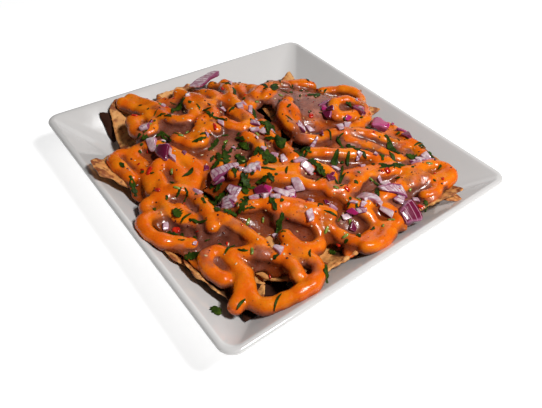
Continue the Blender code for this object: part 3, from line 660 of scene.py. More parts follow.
def surface_of(values):
    """The mesh where a field of distances is zero, with a point in each cell that it crosses."""
    inside = values < 0
    shape = np.array(values.shape)
    corners = list(np.ndindex(2, 2, 2))

    def corner_of(grid, corner):
        return grid[tuple(slice(c, n - 1 + c) for c, n in zip(corner, shape))]

    count = sum(corner_of(inside, corner).astype(np.int8) for corner in corners)
    active = (count > 0) & (count < 8)
    index = np.full(active.shape, -1)
    index[active] = np.arange(active.sum())
    cells = np.argwhere(active)
    total = np.zeros((len(cells), 3))
    number = np.zeros(len(cells))
    for start in corners:
        for axis in range(3):
            if start[axis]:
                continue
            end = tuple(1 if k == axis else c for k, c in enumerate(start))
            one = values[tuple((cells + start).T)]
            other = values[tuple((cells + end).T)]
            crossed = (one < 0) != (other < 0)
            share = np.where(crossed, one / np.where(crossed, one - other, 1.0), 0.0)
            place = np.array(start, float) + share[:, None] * (np.arange(3) == axis)
            total[crossed] += place[crossed]
            number[crossed] += 1
    points = np.array(FIELD_LOW) + FIELD_STEP * (cells + total / number[:, None])
    faces = []
    for axis in range(3):
        u, v = [np.eye(3, dtype=int)[(axis + k) % 3] for k in (1, 2)]
        first = tuple(slice(0, n - 1) if k == axis else slice(1, n - 1) for k, n in enumerate(shape))
        after = tuple(slice(1, n) if k == axis else slice(1, n - 1) for k, n in enumerate(shape))
        start = np.array([0 if k == axis else 1 for k in range(3)])
        leaving = inside[first] & ~inside[after]
        entering = ~inside[first] & inside[after]
        for crossing, order in ((leaving, (0, 1, 2, 3)), (entering, (3, 2, 1, 0))):
            at = np.argwhere(crossing) + start
            around = (at, at - u, at - u - v, at - v)
            quads = np.stack([index[tuple(cell.T)] for cell in around], axis=1)
            faces.append(quads[:, order])
    return points, np.concatenate(faces).tolist()


# ---- shader tools


class Shader:
    """A node material: the Principled shader and a few short ways to add nodes to it."""

    def __init__(self, name):
        self.material = bpy.data.materials.new(name)
        self.material.use_nodes = True
        self.nodes = self.material.node_tree.nodes
        self.links = self.material.node_tree.links
        self.shader = self.nodes["Principled BSDF"]
        self.place = self.nodes.new("ShaderNodeTexCoord").outputs["Object"]

    def join(self, socket, value):
        if isinstance(value, bpy.types.NodeSocket):
            self.links.new(value, socket)
        else:
            socket.default_value = value

    def set(self, **inputs):
        for key, value in inputs.items():
            self.join(self.shader.inputs[key.replace("_", " ")], value)

    def attribute(self, name):
        node = self.nodes.new("ShaderNodeAttribute")
        node.attribute_name = name
        return node.outputs["Fac"]

    def axes(self):
        """The place along X, Y and Z in metres."""
        node = self.nodes.new("ShaderNodeSeparateXYZ")
        self.join(node.inputs[0], self.place)
        return node.outputs[:3]

    def math(self, way, one, other=0.0):
        node = self.nodes.new("ShaderNodeMath")
        node.operation = way
        self.join(node.inputs[0], one)
        self.join(node.inputs[1], other)
        return node.outputs[0]

    def times(self, one, other):
        return self.math("MULTIPLY", one, other)

    def noise(self, size, detail=3.0, rough=0.5):
        """Noise of about the given size in millimetres."""
        node = self.nodes.new("ShaderNodeTexNoise")
        self.join(node.inputs["Vector"], self.place)
        node.inputs["Scale"].default_value = 1 / (size * MM)
        node.inputs["Detail"].default_value = detail
        node.inputs["Roughness"].default_value = rough
        return node.outputs[0]

    def cells(self, size):
        """How far each place is from the nearest of scattered points, about a size apart."""
        node = self.nodes.new("ShaderNodeTexVoronoi")
        self.join(node.inputs["Vector"], self.place)
        node.inputs["Scale"].default_value = 1 / (size * MM)
        return node.outputs["Distance"]

    def span(self, value, low, high, start=0.0, end=1.0):
        """The value taken from low..high to start..end, held at the ends."""
        node = self.nodes.new("ShaderNodeMapRange")
        node.interpolation_type = "SMOOTHSTEP"
        self.join(node.inputs[0], value)
        for socket, number in zip(node.inputs[1:5], (low, high, start, end)):
            socket.default_value = number
        return node.outputs[0]

    def mottle(self, size, detail, low, high, start=0.0, end=1.0):
        """Noise taken from low..high to start..end."""
        return self.span(self.noise(size, detail), low, high, start, end)

    def mix(self, share, one, other):
        node = self.nodes.new("ShaderNodeMix")
        node.data_type = "RGBA"
        for socket, value in ((node.inputs[0], share), (node.inputs[6], one), (node.inputs[7], other)):
            if isinstance(value, tuple):
                value = (*value, 1.0)
            self.join(socket, value)
        return node.outputs[2]

    def bump(self, height, depth):
        """A bump of the given depth in millimetres."""
        node = self.nodes.new("ShaderNodeBump")
        node.inputs["Distance"].default_value = depth * MM
        node.inputs["Strength"].default_value = 1.0
        self.join(node.inputs["Height"], height)
        self.join(self.shader.inputs["Normal"], node.outputs[0])


# ---- materials

ORANGE = (0.95, 0.238, 0.005)
ORANGE_DEEP = (0.84, 0.140, 0.003)
# Painted shade colour of the cheese sauce deep in the creases
SAUCE_SHADE = (0.20, 0.030, 0.004)
MAUVE = (0.25, 0.068, 0.038)
MAUVE_PALE = (0.48, 0.168, 0.108)
# Painted shade colour of the bean sauce deep in the creases
MAUVE_SHADE = (0.055, 0.012, 0.005)
SPECK = (0.10, 0.010, 0.006)


def sauce_material(name):
    """Cheese sauce running into bean sauce where the bean value is high, with dark specks and painted shade
    in the creases.
    """
    made = Shader(name)
    bean = made.attribute("bean")
    cheese = made.mix(made.mottle(14, 2, 0.35, 0.7), ORANGE_DEEP, ORANGE)
    # Painted shade: the cheese turns dark where it lies deep under the crests
    cheese = made.mix(made.times(made.attribute("deep"), 0.9), cheese, SAUCE_SHADE)
    beans = made.mix(made.mottle(8, 3, 0.35, 0.7), MAUVE, MAUVE_PALE)
    # Painted shade in the creases, and darker random patches, on the beans
    shade_and_patches = made.math("ADD", made.attribute("deep"), made.mottle(18, 2, 0.55, 0.75, 0.0, 0.8))
    beans = made.mix(made.times(shade_and_patches, 0.5), beans, MAUVE_SHADE)
    ragged = made.math("ADD", bean, made.mottle(6, 3, 0.3, 0.7, -0.12, 0.12))
    colour = made.mix(made.span(ragged, 0.15, 1.05), cheese, beans)
    dotted = made.span(made.cells(2.8), 0.12, 0.22, 1.0, 0.0)
    colour = made.mix(made.times(dotted, made.span(ragged, 0.1, 0.5, 0.0, 0.75)), colour, SPECK)
    made.set(Base_Color=colour, Roughness=made.mottle(3, 2, 0.35, 0.65, 0.14, 0.32))
    made.set(Subsurface_Weight=0.25, Subsurface_Radius=(0.004, 0.0016, 0.0006), Subsurface_Scale=1.0)
    made.set(Specular_IOR_Level=0.4)
    made.bump(made.noise(2.0, 3), 0.22)
    return made.material


def porcelain_material():
    """White glaze, very slightly grey and wavy."""
    made = Shader("porcelain")
    made.set(Base_Color=made.mix(made.noise(60, 2), (0.72, 0.70, 0.685), (0.78, 0.765, 0.75)))
    made.set(Roughness=made.mottle(12, 3, 0.3, 0.7, 0.08, 0.14))
    made.set(Coat_Weight=0.5, Coat_Roughness=0.03)
    made.bump(made.noise(25, 2), 0.05)
    return made.material


def tortilla_material(name, painted_shade=0.0):
    """Fried maize: tan, darker at the rim and in scorched spots, and near-black towards the heap's middle
    as painted shade.
    """
    made = Shader(name)
    rim = made.attribute("rim")
    colour = made.mix(made.mottle(7, 4, 0.35, 0.68), (0.72, 0.29, 0.075), (0.84, 0.42, 0.13))
    colour = made.mix(made.mottle(2.2, 3, 0.58, 0.75), colour, (0.42, 0.14, 0.035))
    toasted = made.math("ADD", rim, made.mottle(5, 3, 0.3, 0.7, -0.3, 0.3))
    colour = made.mix(made.span(toasted, 0.72, 1.1), colour, (0.30, 0.075, 0.016))
    out = made.math("MAXIMUM", *[made.math("ABSOLUTE", axis) for axis in made.axes()[:2]])
    # Painted shade: chips within about 80 to 100 mm of the middle turn near-black, as the heap's inside
    # lies in shade
    colour = made.mix(made.span(out, 0.100, 0.080, 0.0, painted_shade), colour, (0.016, 0.005, 0.002))
    # Painted shade: near-black patches on the chips where shade falls
    colour = made.mix(made.times(made.attribute("stain"), 0.93), colour, (0.04, 0.011, 0.003))
    made.set(Base_Color=colour, Roughness=0.62)
    made.bump(made.noise(0.9, 4, 0.6), 0.25)
    return made.material


def painted_shade_material(name, colours):
    """Near-black painted shade, for the heap's core, the sheet under the heap and the chips low at its
    edge.
    """
    made = Shader(name)
    made.set(Base_Color=made.mix(made.noise(8, 3), *colours), Roughness=0.8, Specular_IOR_Level=0.2)
    made.bump(made.noise(4, 3), 1.5)
    return made.material


# ---- plate


def square_ring(half, corner, height):
    """A square with rounded corners, at one height: a corner and a side, four times round."""
    centre = half - corner
    quarter = []
    for step in range(CORNER_STEPS + 1):
        angle = math.radians(90 * step / CORNER_STEPS)
        x, y = centre + corner * math.cos(angle), centre + corner * math.sin(angle)
        quarter.append(Vector((x, y, height)))
    start, end = quarter[-1], Vector((-centre, half, height))
    quarter += [start.lerp(end, step / SIDE_STEPS) for step in range(1, SIDE_STEPS)]
    turns = [Matrix.Rotation(math.radians(turn), 3, "Z") for turn in (0, 90, 180, 270)]
    return [turn @ point for turn in turns for point in quarter]


def plate_sections():
    """The wall's section as (half width, corner radius, height), from the foot out, up and in."""
    foot_inner = FOOT_HALF - FOOT_WIDTH
    lip = PLATE_HALF - WALL_TOP_HALF
    wall_top = PLATE_HEIGHT - 1.5
    under = WALL_THICK * 1.35
    return (
        (foot_inner - 8, FLOOR_CORNER, FOOT_HEIGHT),
        (foot_inner - 2, FLOOR_CORNER, FOOT_HEIGHT),
        (foot_inner, FLOOR_CORNER, 0.0),
        (FOOT_HALF, FLOOR_CORNER, 0.0),
        (FOOT_HALF + 2, FLOOR_CORNER, FOOT_HEIGHT),
        (FLOOR_HALF + 1, FLOOR_CORNER, FOOT_HEIGHT + 0.6),
        (FLOOR_HALF + 7, FLOOR_CORNER, FLOOR_TOP + 0.5),
        (FLOOR_HALF + 17, FLOOR_CORNER - 2, FLOOR_TOP + 10.5),
        (PLATE_HALF - 3, RIM_CORNER, wall_top - 0.7 * under),
        (PLATE_HALF - 0.4, RIM_CORNER, PLATE_HEIGHT - 3.6),
        (PLATE_HALF, RIM_CORNER, PLATE_HEIGHT - 2.2),
        (PLATE_HALF - 0.7, RIM_CORNER - 0.7, PLATE_HEIGHT - 0.7),
        (PLATE_HALF - 0.45 * lip, RIM_CORNER - 2, PLATE_HEIGHT),
        (PLATE_HALF - 0.8 * lip, RIM_CORNER - 3, PLATE_HEIGHT - 0.5),
        (WALL_TOP_HALF, RIM_CORNER - 3, wall_top),
        (FLOOR_HALF + 14, FLOOR_CORNER - 4, FLOOR_TOP + 13.5),
        (FLOOR_HALF + 3.5, FLOOR_CORNER, FLOOR_TOP + 4.0),
        (FLOOR_HALF, FLOOR_CORNER, FLOOR_TOP + 1.3),
        (FLOOR_HALF - 5, FLOOR_CORNER, FLOOR_TOP),
        (FLOOR_HALF - 20, FLOOR_CORNER, FLOOR_TOP),
    )


def make_plate():
    """The glazed plate, with the solid's section and soft edges."""
    rings = [square_ring(*section) for section in plate_sections()]
    points = [point for ring in rings for point in ring]
    around = len(rings[0])
    faces = band_faces(len(rings), around)
    for row, centre in ((0, (0, 0, FOOT_HEIGHT)), (len(rings) - 1, (0, 0, FLOOR_TOP))):
        tip = len(points)
        points.append(Vector(centre))
        for k in range(around):
            pair = (row * around + (k + 1) % around, row * around + k)
            faces.append((*(pair if row == 0 else pair[::-1]), tip))
    plate = piece_of("plate_glazed", points, faces, porcelain_material(), "plate")
    smooth = plate.modifiers.new("Smooth", "SUBSURF")
    smooth.levels = smooth.render_levels = 2
    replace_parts(plate, "plate")


# ---- sauces


def squeeze_path(x, y, heading, turns):
    """Points a millimetre apart along equal strokes, each bending by its own turn."""
    angle = math.radians(heading)
    points = [(x, y)]
    for turn in turns:
        bend = math.radians(turn) / ROPE_STEP
        for _ in range(int(ROPE_STEP)):
            angle += bend / 2
            x += math.cos(angle)
            y += math.sin(angle)
            angle += bend / 2
            points.append((x, y))
    return points


def windowed(values, reach):
    """Each value replaced by the mean of its neighbours within reach."""
    last = len(values)
    return np.array([np.mean(values[max(0, i - reach) : min(last, i + reach + 1)]) for i in range(last)])


def curve_through(points):
    """A smooth curve through the points, in steps of about a millimetre."""
    points = np.array(points, float)
    padded = np.vstack((2 * points[0] - points[1], points, 2 * points[-1] - points[-2]))
    path = []
    for before, start, end, after in zip(padded, padded[1:], padded[2:], padded[3:]):
        steps = max(2, int(np.hypot(*(end - start))))
        for share in np.arange(steps) / steps:
            bend = (2 * before - 5 * start + 4 * end - after) * share**2
            bend += (3 * start - before - 3 * end + after) * share**3
            path.append(start + 0.5 * ((end - before) * share + bend))
    return np.array(path)


def crest_height(x, y):
    """How high the food's crest stands at a point."""
    out = np.minimum(1.0, ((np.abs(x) / HEAP_REACH) ** 3 + (np.abs(y) / HEAP_REACH) ** 3) ** (1 / 3))
    dome = CREST - CREST_FALL * out**CREST_POWER
    return PLATE_HEIGHT + dome - out * (EDGE_DROP + EDGE_TILT * (x - y))


def rope_places(path, ropes_tree, rests, bridges):
    """A rope's centres: inside its solid where that is, or laid on what is below."""
    path = np.array(path)
    low = sampled(rests, MAP_LOW, MAP_STEP, path) + ROPE_REST * ROPE_RADIUS
    most = sampled(bridges, MAP_LOW, MAP_STEP, path) + ROPE_MOST * ROPE_RADIUS
    most = np.minimum(most, crest_height(*path.T) + ROPE_OVER - ROPE_RADIUS)
    tops = [top_of(ropes_tree, x, y)[0] for x, y in path]
    heights = np.array([top - ROPE_RADIUS if top else 0.0 for top in tops])
    heights = windowed(np.clip(heights, low, np.maximum(low, most)), ROPE_SMOOTH)
    return np.column_stack((path, heights))


def empty_field():
    """A field of distances from a surface, negative inside, with nothing in it yet."""
    return np.full([len(axis) for axis in FIELD_AXES], FAR)


def rope_field(places, radii):
    """The field of one rope, a chain of balls."""
    field = empty_field()
    for place, radius in zip(places, radii):
        reach = radius + FAR
        start = np.maximum(np.floor((place - reach - FIELD_LOW) / FIELD_STEP).astype(int), 0)
        end = np.ceil((place + reach - FIELD_LOW) / FIELD_STEP).astype(int) + 1
        cells = tuple(slice(a, b) for a, b in zip(start, end))
        dx, dy, dz = [(axis[cell] - p) ** 2 for axis, cell, p in zip(FIELD_AXES, cells, place)]
        away = np.sqrt(dx[:, None, None] + dy[None, :, None] + dz[None, None, :]) - radius
        np.minimum(field[cells], away, out=field[cells])
    return field


def add_rope(whole, places, radii):
    """Merges one rope into the whole field, with a fillet between them."""
    one = rope_field(places, radii)
    near = one < FAR
    whole[near] = smooth_min(whole[near], one[near], ROPE_BLEND)


def blurred(values):
    """A field softened a little."""
    for axis in range(3):
        around = np.roll(values, 1, axis=axis) + np.roll(values, -1, axis=axis)
        values = 0.5 * values + 0.25 * around
    return values


def height_map(tree):
    """The tops of some solids over a square grid, and 0 beside them."""
    return np.array([[top_of(tree, x, y)[0] or 0.0 for y in MAP_AXIS] for x in MAP_AXIS])


def height_map_of(values):
    """The top of a field's surface over the same square grid."""
    inside = values < 0
    last = inside.shape[2] - 1 - np.argmax(inside[:, :, ::-1], axis=2)
    tops = np.where(inside.any(axis=2), FIELD_LOW[2] + FIELD_STEP * last, 0.0)
    x, _, places = grid_of(MAP_AXIS, MAP_AXIS)
    return sampled(tops, FIELD_LOW, FIELD_STEP, places).reshape(x.shape)


def film_field(top, inset=0.0, holes=(), edge_thick=FILM_EDGE, inner_thick=FILM_INNER):
    """The field of a skin of sauce laid over the map's surface, with ragged round edges."""
    x, y, places = grid_of(*FIELD_AXES[:2])
    surface = sampled(top, MAP_LOW, MAP_STEP, places).reshape(x.shape)
    slope_x, slope_y = np.gradient(surface, FIELD_STEP)
    steep = 1 / np.sqrt(1 + slope_x**2 + slope_y**2)
    edge = polygon_distance(x, y, SAUCE_EDGE) + inset
    for hole in holes:
        edge = np.maximum(edge, -ellipse_distance(x, y, hole))
    for number, (depth, size) in enumerate(EDGE_WAVES):
        edge += depth * waves((x, y), size, SEED + number)
    thick = edge_thick + (inner_thick - edge_thick) * smoothstep(2, 12, -edge)
    middle = (surface - thick / 2)[:, :, None]
    flat = (np.abs(FIELD_AXES[2] - middle) - thick[:, :, None] / 2) * steep[:, :, None] + FILM_ROUND
    side = np.broadcast_to((edge + FILM_ROUND)[:, :, None], flat.shape)
    outer = np.hypot(np.maximum(flat, 0), np.maximum(side, 0))
    return np.minimum(np.maximum(flat, side), 0) + outer - FILM_ROUND


def bean_share(points, drop, off_ropes):
    """How mauve the sauce is at points: by place, where it drops under the crests or off the ropes."""
    x, y = points[:, :2].T
    strength = np.zeros(len(points))
    for place in BEAN_PLACES:
        strength = np.maximum(strength, 1 - smoothstep(*BEAN_SHORE, ellipse_distance(x, y, place)))
    uneven = 0.8 * waves((x, y), 6, SEED + 4)
    valley = np.maximum(smoothstep(*BEAN_DROP, drop + uneven), smoothstep(*BEAN_OFF, off_ropes + uneven))
    base = 0.45 + 0.35 * waves((x, y), 22, SEED + 6)
    film = smoothstep(0.3, 1.1, waves((x, y), 10, SEED + 5)) * 0.7 * (0.5 + 0.5 * strength)
    for place in COATED_PLACES:
        away = ellipse_distance(x, y, place) + 2.5 * waves((x, y), 7, SEED + 7)
        film = np.maximum(film, place[5] * (1 - smoothstep(*COAT_SHORE, away)))
    return np.clip(np.maximum(valley * np.maximum(strength, base), film), 0, 1)


def sauce_bed():
    """How high sauce and crumbled chips fill the heap, under its crest and clear of its dark places."""
    x, y, _ = grid_of(MAP_AXIS, MAP_AXIS)
    clear = -polygon_distance(x, y, SAUCE_EDGE)
    for hole in SAUCE_HOLES:
        clear = np.minimum(clear, BED_SHORE + ellipse_distance(x, y, hole))
    return crest_height(x, y) - BED_SAG - BED_FALL * (1 - smoothstep(0, BED_FULL, clear))


def lay_ropes(whole, skin, ground):
    """Adds the ropes of cheese sauce, uneven in thickness, to the field."""
    bridges = widened(ground, BRIDGE_REACH)
    ropes_tree = tree_of(nodes_named("cheese"))
    for number, (x, y, heading, turns) in enumerate(ROPES):
        path = squeeze_path(x, y, heading, turns)
        places = rope_places(path, ropes_tree, skin, bridges)
        along = np.arange(len(places))
        swell = 1 + sum(share * np.sin(turn * along + shift * number) for share, turn, shift in ROPE_SWELLS)
        add_rope(whole, places, ROPE_RADIUS * swell)


def lay_ridges(whole, level):
    """Adds the lower ridges, thinner at both ends, to the field."""
    for radius, *points in RIDGES:
        path = curve_through(points)
        heights = windowed(sampled(level, MAP_LOW, MAP_STEP, path) - RIDGE_SINK * radius, ROPE_SMOOTH)
        along = np.arange(len(path))
        fade = np.minimum(1.0, RIDGE_END + np.minimum(along, along[::-1]) / RIDGE_FADE)
        add_rope(whole, np.column_stack((path, heights)), radius * fade)


def make_sauces():
    """The ropes of cheese sauce and the bean sauce that fills between them, melted together."""
    heap = [piece for piece in bpy.data.objects if piece.name == "tortilla_heap"]
    ground = height_map(tree_of(nodes_named("chip", "plate") + heap))
    pools = height_map(tree_of(nodes_named("bean")))
    skin = np.maximum(np.maximum(widened(ground, SKIN_REACH), pools), sauce_bed())
    skin = filtered(skin, SKIN_SOFT, np.mean)
    whole = empty_field()
    lay_ropes(whole, skin, ground)
    level = np.maximum(height_map_of(whole), skin)
    for _ in range(2):
        level = filtered(level, MELT_REACH, np.mean)
    level = np.maximum(skin, level - MELT_DROP)
    lay_ridges(whole, level)
    place = np.meshgrid(*FIELD_AXES, indexing="ij", sparse=True)
    whole += ROPE_WAVE * waves(place, ROPE_WAVE_SIZE, SEED + 2)
    ropes = blurred(whole)
    film = film_field(level, holes=SAUCE_HOLES)
    film += FILM_WAVE * waves(place, FILM_WAVE_SIZE, SEED + 3)
    melted = blurred(smooth_min(ropes + FILM_UNDER, film, FILLET))
    top = widened(height_map_of(melted), CREST_REACH)
    # Run-off sauce under the heap, near-black as painted shade
    runoff = height_map(tree_of(nodes_named("plate"))) + RUNOFF_THICK
    painted_shade = film_field(runoff, RUNOFF_INSET, (), RUNOFF_THICK, RUNOFF_THICK)
    material = painted_shade_material("soaked_chips", SHADE_DARK)
    piece_of("bean_sauce_runoff", *surface_of(painted_shade), material, "bean_sauce")
    material = sauce_material("sauces")
    pieces = []
    for name, values, slot, start in (
        ("cheese_sauce_ropes", ropes, "cheese_sauce", "cheese"),
        ("bean_sauce_pools", melted, "bean_sauce", "bean"),
    ):
        points, faces = surface_of(values)
        off_ropes = sampled(ropes, FIELD_LOW, FIELD_STEP, points)
        drop = sampled(top, MAP_LOW, MAP_STEP, points[:, :2]) - points[:, 2]
        # deep is painted shade, by how far the sauce drops under the crests
        shades = {"bean": bean_share(points, drop, off_ropes), "deep": smoothstep(*CREASE_SHADE_DROP, drop)}
        piece = piece_of(name, points, faces, material, slot, shades)
        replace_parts(piece, *[node.name for node in nodes_named(start)])
        pieces.append(piece)
    return pieces


# ---- small shapes


class Batch:
    """Many small closed shapes gathered into one mesh."""

    def __init__(self):
        self.points = []
        self.faces = []
        self.values = {}
        self.count = 0

    def add(self, points, faces, **values):
        self.faces += [tuple(self.count + i for i in face) for face in faces]
        self.points.append(points)
        self.count += len(points)
        for key, numbers in values.items():
            self.values.setdefault(key, []).append(np.broadcast_to(numbers, len(points)))

    def piece(self, name, material, slot=None):
        values = {key: np.concatenate(parts) for key, parts in self.values.items()}
        return piece_of(name, np.vstack(self.points), self.faces, material, slot, values)


def signed_power(value, power):
    """A power of the value's size, with the value's sign."""
    return math.copysign(abs(value) ** power, value)


def nugget(length, width, thick, squareness, rings=9, around=12):
    """A rounded block along X, an ellipsoid at squareness 2: points, faces and unit places."""
    unit = []
    for station in np.linspace(-1, 1, rings):
        along = math.sin(0.5 * math.pi * station) * 0.999
        share = (1 - abs(along) ** squareness) ** (1 / squareness)
        for k in range(around):
            angle = 2 * math.pi * (k + 0.5) / around
            across = signed_power(math.cos(angle), 2 / squareness)
            up = signed_power(math.sin(angle), 2 / squareness)
            unit.append((along, across * share, up * share))
    unit = np.array(unit)
    return unit * np.array((length, width, thick)) / 2, tube_faces(rings, around), unit


def bent(points, bend):
    """Points bent upwards in the middle about Y, by an angle over their length."""
    arc = math.radians(bend)
    if arc == 0:
        return points
    radius = np.ptp(points[:, 0]) / arc
    angle = points[:, 0] / radius
    out = radius + points[:, 2]
    return np.column_stack((out * np.sin(angle), points[:, 1], out * np.cos(angle) - radius))


def seat(tree, x, y, reach, steepest=1.0):
    """The plane that fits what is under a small piece: its height and normal."""
    places = [(0.0, 0.0)] + [(reach * math.cos(a), reach * math.sin(a)) for a in np.arange(8) * math.pi / 4]
    hits = [(1.0, dx, dy, top_of(tree, x + dx, y + dy)[0]) for dx, dy in places]
    hits = np.array([hit for hit in hits if hit[3] is not None])
    height, slope_x, slope_y = np.linalg.lstsq(hits[:, :3], hits[:, 3], rcond=None)[0]
    slope = math.hypot(slope_x, slope_y)
    ease = min(1.0, steepest / max(slope, 1e-6))
    return height, Vector((-slope_x * ease, -slope_y * ease, 1)).normalized()


def laid(points, x, y, height, normal, heading):
    """Points turned to a heading, tilted to a normal and moved to a place."""
    tilt = Vector((0, 0, 1)).rotation_difference(normal).to_matrix()
    turn = tilt @ Matrix.Rotation(math.radians(heading), 3, "Z")
    return points @ np.array(turn).T + np.array((x, y, height))


def scattered(count, step, seed):
    """Random places inside the sauce's edge, not closer than a step: x, y and three random numbers."""
    pick = np.random.default_rng(seed)
    found = []
    while len(found) < count:
        x, y = pick.uniform(-SCATTER_WITHIN, SCATTER_WITHIN, 2)
        inside = polygon_distance(np.array([x]), np.array([y]), SAUCE_EDGE)[0] < -SCATTER_INSET
        if inside and all(math.hypot(x - place[0], y - place[1]) > step for place in found):
            found.append((x, y, *pick.uniform(0, 1, 3)))
    return found


# ---- chips


def chip_reach(angle):
    """A rounded triangle's radius in one direction, as a share of its reach."""
    sides = sum(max(0.0, math.cos(angle - math.radians(turn))) ** CHIP_POWER for turn in (60, 180, 300))
    return CHIP_SIDE / sides ** (1 / CHIP_POWER)


def add_chip(batch, x, y, height, normal, heading, reach, curl, seed, allowed=None):
    """A fried tortilla wedge, blistered and curled, thin at its ragged rim."""
    angles = 2 * math.pi * np.arange(CHIP_SPOKES) / CHIP_SPOKES
    outline = [(chip_reach(a) * math.cos(a), chip_reach(a) * math.sin(a)) for a in angles]
    shares = np.repeat(CHIP_RINGS, CHIP_SPOKES)
    flat = reach * shares[:, None] * np.tile(outline, (len(CHIP_RINGS), 1))
    pick = np.random.default_rng(seed)
    off = pick.uniform(0, 500)
    flat = flat * (1 + CHIP_RAGGED * (shares * waves(tuple(flat.T + off), 6, seed))[:, None])
    way = pick.uniform(0, math.pi)
    side = flat[:, 0] * math.cos(way) + flat[:, 1] * math.sin(way)
    place = tuple(flat.T + off)
    lift = curl * side**2 / reach + CHIP_BUCKLE * waves(place, 12, SEED + 60)
    blister = CHIP_BLISTER * smoothstep(0.7, 1.5, waves(place, 6, SEED + 61))
    pits = CHIP_PITS * waves(place, 2.5, SEED + 62)
    half = 0.5 * CHIP_THICK * np.sqrt(np.maximum(1 - shares**8, 0.06))
    upper = np.column_stack((flat, lift + half + blister + pits))
    lower = np.column_stack((flat, lift - half + 0.4 * blister))
    rings = len(CHIP_RINGS)
    lower = lower.reshape(rings, CHIP_SPOKES, 3)[::-1].reshape(-1, 3)
    points = laid(np.vstack((upper, lower)), x, y, height, normal, heading)
    if allowed is not None:
        roof, floor = [sampled(limit, MAP_LOW, MAP_STEP, points[:, :2]) for limit in allowed]
        points[:, 2] -= max(0.0, (points[:, 2] - roof).max())
        if (points[:, 2] - floor).min() < CHIP_CLEAR:
            return False
    batch.add(points, tube_faces(2 * rings, CHIP_SPOKES), rim=np.concatenate((shares, shares[::-1])))
    return True


def add_loose_chips(batch, rows, seed):
    """Chips laid at their own places, heights and leans."""
    for k, (x, y, height, lean_x, lean_y, heading, reach, curl) in enumerate(rows):
        normal = Vector((-lean_x, -lean_y, 1)).normalized()
        add_chip(batch, x, y, height, normal, heading, reach, curl, seed + k)


def make_edge_chips(name, rows, material):
    """Chips of the heap that show at its edge or in its gaps."""
    batch = Batch()
    add_loose_chips(batch, rows, EDGE_SEED)
    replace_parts(batch.piece(name, material, "tortilla_chip"), "chip_heap")


def make_core(heap):
    """A smaller copy of the heap's solid, under its real chips, near-black as painted shade."""
    points = np.array([tuple(vert.co / MM) for vert in heap.data.vertices])
    points = (points - (0, 0, FLOOR_TOP)) * CORE_SHARE + (0, 0, FLOOR_TOP + CORE_LIFT)
    faces = [tuple(face.vertices) for face in heap.data.polygons]
    material = painted_shade_material("soaked_chips", SHADE_DARK)
    core = piece_of("tortilla_core", points, faces, material, "tortilla_chip")
    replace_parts(core, "chip_heap")


def make_buried_chips(material):
    """Real chips through the heap, over a smaller core that is near-black as painted shade."""
    heap = nodes_named("chip_heap")[0]
    roof = height_map(tree_of([heap])) + CHIP_OVER
    floor = height_map(tree_of(nodes_named("plate")))
    roof = np.where(roof > CHIP_OVER, roof, floor + BURIED_COVER)
    batch = Batch()
    pick = np.random.default_rng(SEED + 65)
    made = 0
    for _ in range(BURIED_TRIES):
        x, y = pick.uniform(-BURIED_WITHIN, BURIED_WITHIN, 2)
        height = float(sampled(roof, MAP_LOW, MAP_STEP, np.array([(x, y)]))[0])
        normal = Vector((*pick.normal(0, BURIED_LEAN, 2), 1)).normalized()
        heading, reach, curl = pick.uniform(0, 360), pick.uniform(*BURIED_REACH), pick.uniform(*BURIED_CURL)
        seed = BURIED_SEED + made
        made += add_chip(batch, x, y, height, normal, heading, reach, curl, seed, (roof, floor))
    add_loose_chips(batch, FAR_CHIPS, FAR_SEED)
    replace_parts(batch.piece("tortilla_heap", material, "tortilla_chip"), "chip_heap")
    make_core(heap)


def refined(node):
    """A solid's mesh, welded and smoothed: its points in millimetres, its normals and its faces."""
    mesh = bpy.data.meshes.new(node.name)
    bm = bmesh.new()
    bm.from_mesh(node.data)
    bmesh.ops.remove_doubles(bm, verts=bm.verts, dist=CHIP_WELD)
    bm.to_mesh(mesh)
    bm.free()
    rough = bpy.data.objects.new("rough", mesh)
    bpy.context.scene.collection.objects.link(rough)
    smooth = rough.modifiers.new("Smooth", "SUBSURF")
    smooth.levels = smooth.render_levels = 3
    bpy.context.view_layer.update()
    shown = rough.evaluated_get(bpy.context.evaluated_depsgraph_get())
    fine = bpy.data.meshes.new_from_object(shown)
    bpy.data.objects.remove(rough)
    points = np.array([tuple(vert.co) for vert in fine.vertices]) / MM
    normals = np.array([tuple(vert.normal) for vert in fine.vertices])
    faces = [tuple(face.vertices) for face in fine.polygons]
    bpy.data.meshes.remove(fine)
    return points, normals, faces


def make_top_chips(material):
    """The chips that have their own solids, each refined with blisters, pits and a toasted rim."""
    for node in nodes_named("chip"):
        if node.name == "chip_heap":
            continue
        points, normals, faces = refined(node)
        place = tuple(points.T)
        lift = TOP_BLISTER * smoothstep(0.8, 1.5, waves(place, 5, SEED + 22))
        for number, (depth, size) in enumerate(TOP_WAVES):
            lift += depth * waves(place, size, SEED + 20 + number)
        middle = points.mean(axis=0)[:2]
        away = np.hypot(*(points[:, :2] - middle).T)
        blunt = BLUNT_CHIPS.get(node.name, away.max())
        kept = np.where(away > blunt, (blunt + BLUNT_SHARE * (away - blunt)) / np.maximum(away, 1.0), 1.0)
        points[:, :2] = middle + (points[:, :2] - middle) * kept[:, None]
        away = away * kept
        # Painted shade: near-black patches on the chips at the listed places
        stain = np.zeros(len(points))
        for patch_place in SHADE_PATCHES:
            out = ellipse_distance(*points[:, :2].T, patch_place) + 1.5 * waves(tuple(points.T), 6, SEED + 23)
            stain = np.maximum(stain, 1 - smoothstep(-1.5, 1.5, out))
        values = {"rim": away / away.max(), "stain": stain}
        name = node.name.replace("chip", "tortilla")
        piece = piece_of(name, points + normals * lift[:, None], faces, material, "tortilla_chip", values)
        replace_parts(piece, node.name)


# ---- toppings


